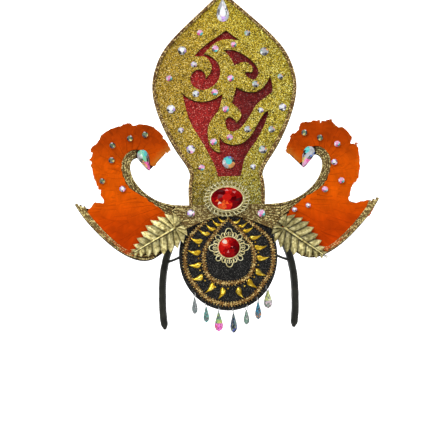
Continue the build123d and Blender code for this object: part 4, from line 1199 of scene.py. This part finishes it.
def stamped_leaf(root_x, root_up, turn, bright):
    """A leaf's pressed sheet, whose lobes rise from their valleys to their veins, its midrib
    and the dark line beside that."""
    corners, faces, tints = [], [], []

    def spot(far, out, lift):
        px, pup = turned(far, out, math.radians(turn))
        return root_x + px, root_up + pup, LEAF_BACK + lift
    feet = [max(0.0, far - 0.5 * out) for far, out in LEAF_TEETH]
    notches = [((far + next_far) / 2 - NOTCH * 0.5, (out + next_out) / 2 - NOTCH * min(1, out / 9))
               for (far, out), (next_far, next_out) in zip(LEAF_TEETH, LEAF_TEETH[1:])]
    ends = [(LEAF_TEETH[0][0] - 0.5, 1.0)] + notches + [(LEAF_LONG, 0.3)]
    for side in (1, -1):
        for lobe, (far, out) in enumerate(LEAF_TEETH):
            low_foot = (feet[lobe] + feet[max(lobe - 1, 0)]) / 2
            high_foot = (feet[lobe] + feet[min(lobe + 1, len(feet) - 1)]) / 2
            low_end, high_end = np.array(ends[lobe]), np.array(ends[lobe + 1])
            tone = bright * chance.uniform(0.60, 1.25)
            start = len(corners)
            for row in range(LOBE_ROWS + 1):
                share = row / LOBE_ROWS
                off = abs(off_vein(share))
                foot = low_foot + share * (high_foot - low_foot)
                saw = (share * 2 * SAW_TEETH) % 1.0
                bulge = 1.12 * (1 - off ** 1.1) + 0.16 * saw * (1 - off)
                end = (1 - share) * low_end + share * high_end \
                    + bulge * ((far, out) - (low_end + high_end) / 2)
                for step in range(LOBE_STEPS + 1):
                    go = step / LOBE_STEPS
                    rise = 1.6 * (1 - off ** 1.3) * min(1, 3 * go + 0.15) \
                        * min(1.0, 2.2 * (1.12 - go))
                    crest = 0.45 * math.exp(-(off / 0.2) ** 2) * (1 - go)
                    corners.append(spot(foot + go * (end[0] - foot),
                                        side * (0.6 + go * (end[1] - 0.6)),
                                        0.25 + rise + crest + 0.8 * go * (1 - go)))
            for row in range(LOBE_ROWS):
                share = (row + 0.5) / LOBE_ROWS
                off = abs(off_vein(share))
                dark = max(0.0, off - 0.55) / 0.45
                vein = 1 + 0.35 * math.exp(-(off / 0.16) ** 2)
                # Painted light and shade: the slope before each vein is darker, the one after it
                # lighter.
                painted_slope_light = 0.82 if share < PEAK else 1.08
                for step in range(LOBE_STEPS):
                    faces.append(quad(start + row * (LOBE_STEPS + 1) + step, LOBE_STEPS + 1,
                                      side < 0))
                    go = (step + 0.5) / LOBE_STEPS
                    shade = tone * vein * painted_slope_light * (1 - 0.84 * dark) \
                        * (0.50 + 0.50 * min(1, 2.2 * go))
                    tints.append((shade, shade, shade * (0.9 if shade < 0.6 else 1)))
    parts = [(corners, faces, tints)]
    for wide, shift, lift, shade in ((1.15, 0.0, 1.5, 1.3), (0.7, -1.4, 0.9, 0.14)):
        path = [spot(far, shift * (1 - far / 90), lift)
                for far in np.linspace(0, LEAF_LONG - 5, RIB_STEPS)]
        rib, rims = tube(path, np.linspace(wide, 0.45 * wide, RIB_STEPS), 8)
        parts.append((rib, rims, [(shade, shade, shade)] * len(rims)))
    return parts


for side, flip in SIDES:
    piece = front_piece("pressed_leaf_" + side, flip(stamped_leaf(*LEAF_PLACES[side])),
                        stamped_gold, ["leaf_" + side])
    thick = piece.modifiers.new("Sheet", "SOLIDIFY")
    thick.thickness = LEAF_THICK / 1000
    thick.offset = -1


# Drops: faceted glass pears on small silver jump rings through the disc's edge. They hang
# free, each turned its own way.
# Columns: width, turn, hues, and the hues of the lower half where they differ
DROPS = [
    (6.5, 15, [SMOKE, (0.22, 0.26, 0.26), (0.12, 0.16, 0.16), (0.30, 0.34, 0.33)], None),
    (7.0, -20, [(0.06, 0.36, 0.32), SMOKE, (0.30, 0.46, 0.38), (0.10, 0.20, 0.18)], None),
    (9.5, 10, [(0.22, 0.42, 0.24), (0.52, 0.58, 0.14), (0.10, 0.20, 0.14), SMOKE],
     [(0.90, 0.10, 0.55), (0.95, 0.25, 0.70), (0.85, 0.22, 0.12), (0.60, 0.05, 0.30)]),
    (8.0, -12, [(0.10, 0.16, 0.22), (0.03, 0.05, 0.08), SMOKE, (0.16, 0.26, 0.22)],
     [(0.06, 0.10, 0.45), (0.16, 0.22, 0.22), (0.03, 0.04, 0.05), (0.30, 0.30, 0.20)]),
    (7.0, 25, [(0.14, 0.34, 0.24), SMOKE, (0.34, 0.44, 0.36), (0.08, 0.12, 0.11)], None),
    (7.5, -15, [(0.05, 0.26, 0.44), (0.12, 0.34, 0.40), SMOKE, (0.03, 0.06, 0.09)],
     [(0.10, 0.36, 0.55), (0.58, 0.26, 0.12), SMOKE, (0.06, 0.16, 0.22)]),
    (11.0, -34, [(0.62, 0.66, 0.26), (0.36, 0.42, 0.24), (0.76, 0.78, 0.52), SMOKE],
     [(0.62, 0.58, 0.66), (0.34, 0.36, 0.34), (0.72, 0.55, 0.60), (0.22, 0.24, 0.20)])]
DROP_ROWS, DROP_SIDES, DROP_THICK_SHARE = 9, 10, 0.55
DROP_SWELL = ((0, 0.1, 0.25, 0.45, 0.6, 0.74, 0.86, 0.95, 1),
              (0.24, 0.34, 0.55, 0.82, 0.97, 1.0, 0.84, 0.52, 0.1))
drop_glass = stone_material("Drop glass", 0.25, [(0.35, (0.85, 0.97, 0.95)), (0.5, (1, 1, 1)),
                                                (0.65, (1, 0.92, 0.90))])
for number, (wide, turn, hues, low_hues) in enumerate(DROPS, start=1):
    low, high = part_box("drop_%d" % number)
    middle = (low + high) / 2
    corners, faces, colors = [], [], []
    for row in range(DROP_ROWS + 1):
        share = row / DROP_ROWS
        swell = wide / 2000 * float(np.interp(share, *DROP_SWELL))
        for side in range(DROP_SIDES):
            angle = 2 * math.pi * (side + 0.5 * (row % 2)) / DROP_SIDES
            px, py = turned(swell * math.cos(angle),
                            DROP_THICK_SHARE * swell * math.sin(angle), math.radians(turn))
            corners.append((middle.x + px, middle.y + py,
                            high.z - share * (high.z - low.z)))
    for row in range(DROP_ROWS):
        palette = low_hues if low_hues and row > 0.5 * DROP_ROWS else hues
        for side in range(DROP_SIDES):
            after = (side + 1) % DROP_SIDES
            here, below = row * DROP_SIDES, (row + 1) * DROP_SIDES
            if row % 2:
                faces += [(here + side, below + after, here + after),
                          (here + side, below + side, below + after)]
            else:
                faces += [(here + side, below + side, here + after),
                          (here + after, below + side, below + after)]
            colors += [spin(chance.choice(palette)), spin(chance.choice(palette))]
    faces += [tuple(range(DROP_SIDES)),
              tuple(reversed(range(DROP_ROWS * DROP_SIDES, (DROP_ROWS + 1) * DROP_SIDES)))]
    colors += [hues[0], hues[1]]
    name = "glass_drop_%d" % number
    finished(name, mesh_of(name, corners, faces, drop_glass, colors, smooth=False),
             ["drop_%d" % number])
silver = metal_material("Ring wire", (0.35, 0.35, 0.36), (0.62, 0.62, 0.62),
                        (0.85, 0.85, 0.85), rough=0.25)
for number in range(1, 8):
    dress("drop_ring_%d" % number, silver)


# Headband: a springy arch padded with foam and covered in black cloth, with a seam along the
# middle of its inside. Two narrow cloth strips run to it from behind the disc.
BAND_HALF, BAND_DROP = 78.5, 122.0
# Columns: half width and drop in %. Then, at each height, the front and the rear of the band
BAND_ARCH = [(0, 0), (30, 1.5), (62, 9), (80, 18.5), (90.5, 31.5), (97, 47), (99.5, 62),
             (100, 80), (99, 90), (97.3, 98.4)]
BAND_SIDE = [(10, -18, 18), (0, -19.1, 18), (-8, -20.1, 18), (-61, -8, 24), (-123, 16, 36)]
BAND_AROUND = 32


def cloth_material():
    """Black cloth: a fine plain weave with a little shine and some rubbed threads."""
    paint = Finish("Black cloth")
    color = paint.ramp(paint.noise(90.0, 5.0),
                       [(0.3, (0.006, 0.006, 0.004)), (0.6, (0.020, 0.020, 0.013)),
                        (0.8, (0.045, 0.045, 0.030))])
    return paint.done({"Base Color": color, "Roughness": 0.6, "Specular IOR Level": 0.25,
                       "Normal": paint.bump(paint.cells(1500.0)["Distance"], 0.5, 0.0003),
                       "Sheen Weight": 0.05, "Sheen Roughness": 0.35})


cloth = cloth_material()
half_arch = smooth_line([(half / 100 * BAND_HALF,
                          BAND_THICK - drop / 100 * (BAND_DROP + BAND_THICK))
                         for half, drop in BAND_ARCH], 2.0)
arch = np.vstack([(half_arch * (-1, 1))[::-1], half_arch[1:]])
inward = -left_of(arch)
levels = np.array(BAND_SIDE)[::-1]


def rounded(part, power):
    """A cosine or sine whose round is drawn out towards a square."""
    return math.copysign(abs(part) ** power, part)


corners = []
for place, (spot, inside_way) in enumerate(zip(arch, inward)):
    toe = min(place, len(arch) - 1 - place)
    slim = min(1.0, 0.35 + 0.25 * toe)
    front, rear = (float(np.interp(spot[1], levels[:, 0], levels[:, column]))
                   for column in (1, 2))
    for step in range(BAND_AROUND):
        turn = 2 * math.pi * step / BAND_AROUND
        flat, thin = rounded(math.cos(turn), 0.45), rounded(math.sin(turn), 0.7)
        depth = (front + rear) / 2 + flat * (rear - front) / 2 * (0.85 + 0.15 * slim)
        seam = 0.6 * math.exp(-((depth - (front + rear) / 2) / 1.2) ** 2) if thin > 0.5 else 0.0
        wrinkle = 0.12 * math.sin(0.9 * place + 2.0 * flat) * math.sin(0.23 * place)
        off = BAND_THICK / 2 + (BAND_THICK / 2 - 0.2) * slim * thin - seam \
            + wrinkle * abs(thin)
        corner = spot + inside_way * off
        corners.append((corner[0] / 1000, depth / 1000, corner[1] / 1000))
band = finished("padded_band", mesh_of("padded_band", corners, skin(len(arch), BAND_AROUND),
                                       cloth), ["headband"])
STRAP_ROWS, STRAP_AROUND, STRAP_SAG = 16, 20, 0.0004


def cloth_strap(node):
    """A flat cloth strip from end to end of its solid. It has rounded edges, and it is a
    little narrower and lower between its sewn ends."""
    found = {tuple(round(part, 6) for part in vertex.co) for vertex in nodes[node].data.vertices}
    found = sorted(found, key=lambda corner: corner[1])
    ends = [sorted(end, key=lambda corner: corner[2]) for end in (found[:4], found[4:])]
    front, rear = (np.array(sorted(end[:2]) + sorted(end[2:])) for end in ends)
    corners = []
    for share in np.linspace(0, 1, STRAP_ROWS + 1):
        low_left, low_right, high_left, high_right = front + share * (rear - front)
        middle = math.sin(math.pi * share)
        for step in range(STRAP_AROUND):
            turn = 2 * math.pi * step / STRAP_AROUND
            wide = 0.5 + 0.5 * rounded(math.cos(turn), 0.5)
            tall = 0.5 + 0.5 * (1 - 0.12 * middle) * rounded(math.sin(turn), 0.5)
            low = low_left + wide * (low_right - low_left)
            high = high_left + wide * (high_right - high_left)
            corners.append(low + tall * (high - low) - (0, 0, STRAP_SAG * middle))
    return corners, skin(STRAP_ROWS + 1, STRAP_AROUND)


for side in ("left", "right"):
    name = "cloth_strap_" + side
    finished(name, mesh_of(name, *cloth_strap("brace_" + side), cloth),
             ["brace_" + side])


# Studio: a pale floor that turns up into a pale backdrop, soft lights and a long lens square
# to the front.
FLOOR_LEVEL = -0.42
profile = [(-9.0, 0.0), (2.9, 0.0), (3.25, 0.04), (3.5, 0.14), (3.66, 0.32), (3.7, 0.6),
           (3.7, 5.0)]
paint = Finish("Backdrop paper")
glow = paint.reach(paint.axis("Y"), 1.0, 1.9)
paper = paint.done({
    "Base Color": paint.ramp(paint.noise(2.0), [(0.0, (0.90, 0.90, 0.90)),
                                                (1.0, (0.94, 0.94, 0.94))]),
    "Emission Color": paint.ramp(glow, [(0.0, (0, 0, 0)), (1.0, (1, 1, 1))]),
    "Emission Strength": 0.95, "Roughness": 0.9})
floor = in_scene("studio_floor", mesh_of(
    "studio_floor", [(x, y, FLOOR_LEVEL + z) for y, z in profile for x in (-7.0, 7.0)],
    [(2 * row, 2 * row + 1, 2 * row + 3, 2 * row + 2) for row in range(len(profile) - 1)],
    paper))

world = bpy.data.worlds.new("Studio")
bpy.context.scene.world = world
world.use_nodes = True
sky = world.node_tree.nodes["Background"]
sky.inputs["Color"].default_value = (1.0, 1.0, 1.0, 1)
sky.inputs["Strength"].default_value = 0.22
LIGHTS_AIM = Vector((0, 0, 0.05))


def area_light(name, place, size, power):
    lamp = bpy.data.lights.new(name, "AREA")
    lamp.size, lamp.energy = size, power
    stand = in_scene(name, lamp)
    stand.location = place
    stand.rotation_euler = (LIGHTS_AIM - Vector(place)).to_track_quat("-Z", "Y").to_euler()


area_light("key", (-0.8, -1.6, 1.4), 0.9, 26)
area_light("fill", (1.3, -1.5, 0.3), 1.0, 9)
area_light("backdrop_wash", (0.0, 0.4, 1.9), 1.6, 20)

camera = bpy.data.cameras.new("camera")
camera.lens = camera.sensor_width * CAMERA_AWAY / VIEW_WIDE
stand = in_scene("camera", camera)
stand.matrix_world = (Matrix.Translation((AIM[0] / 1000, (AIM[1] - CAMERA_AWAY) / 1000,
                                          AIM[2] / 1000))
                      @ Matrix.Rotation(math.pi / 2, 4, "X") @ Matrix.Rotation(-ROLL, 4, "Z"))
bpy.context.scene.camera = stand
bpy.context.scene.view_settings.view_transform = "Standard"
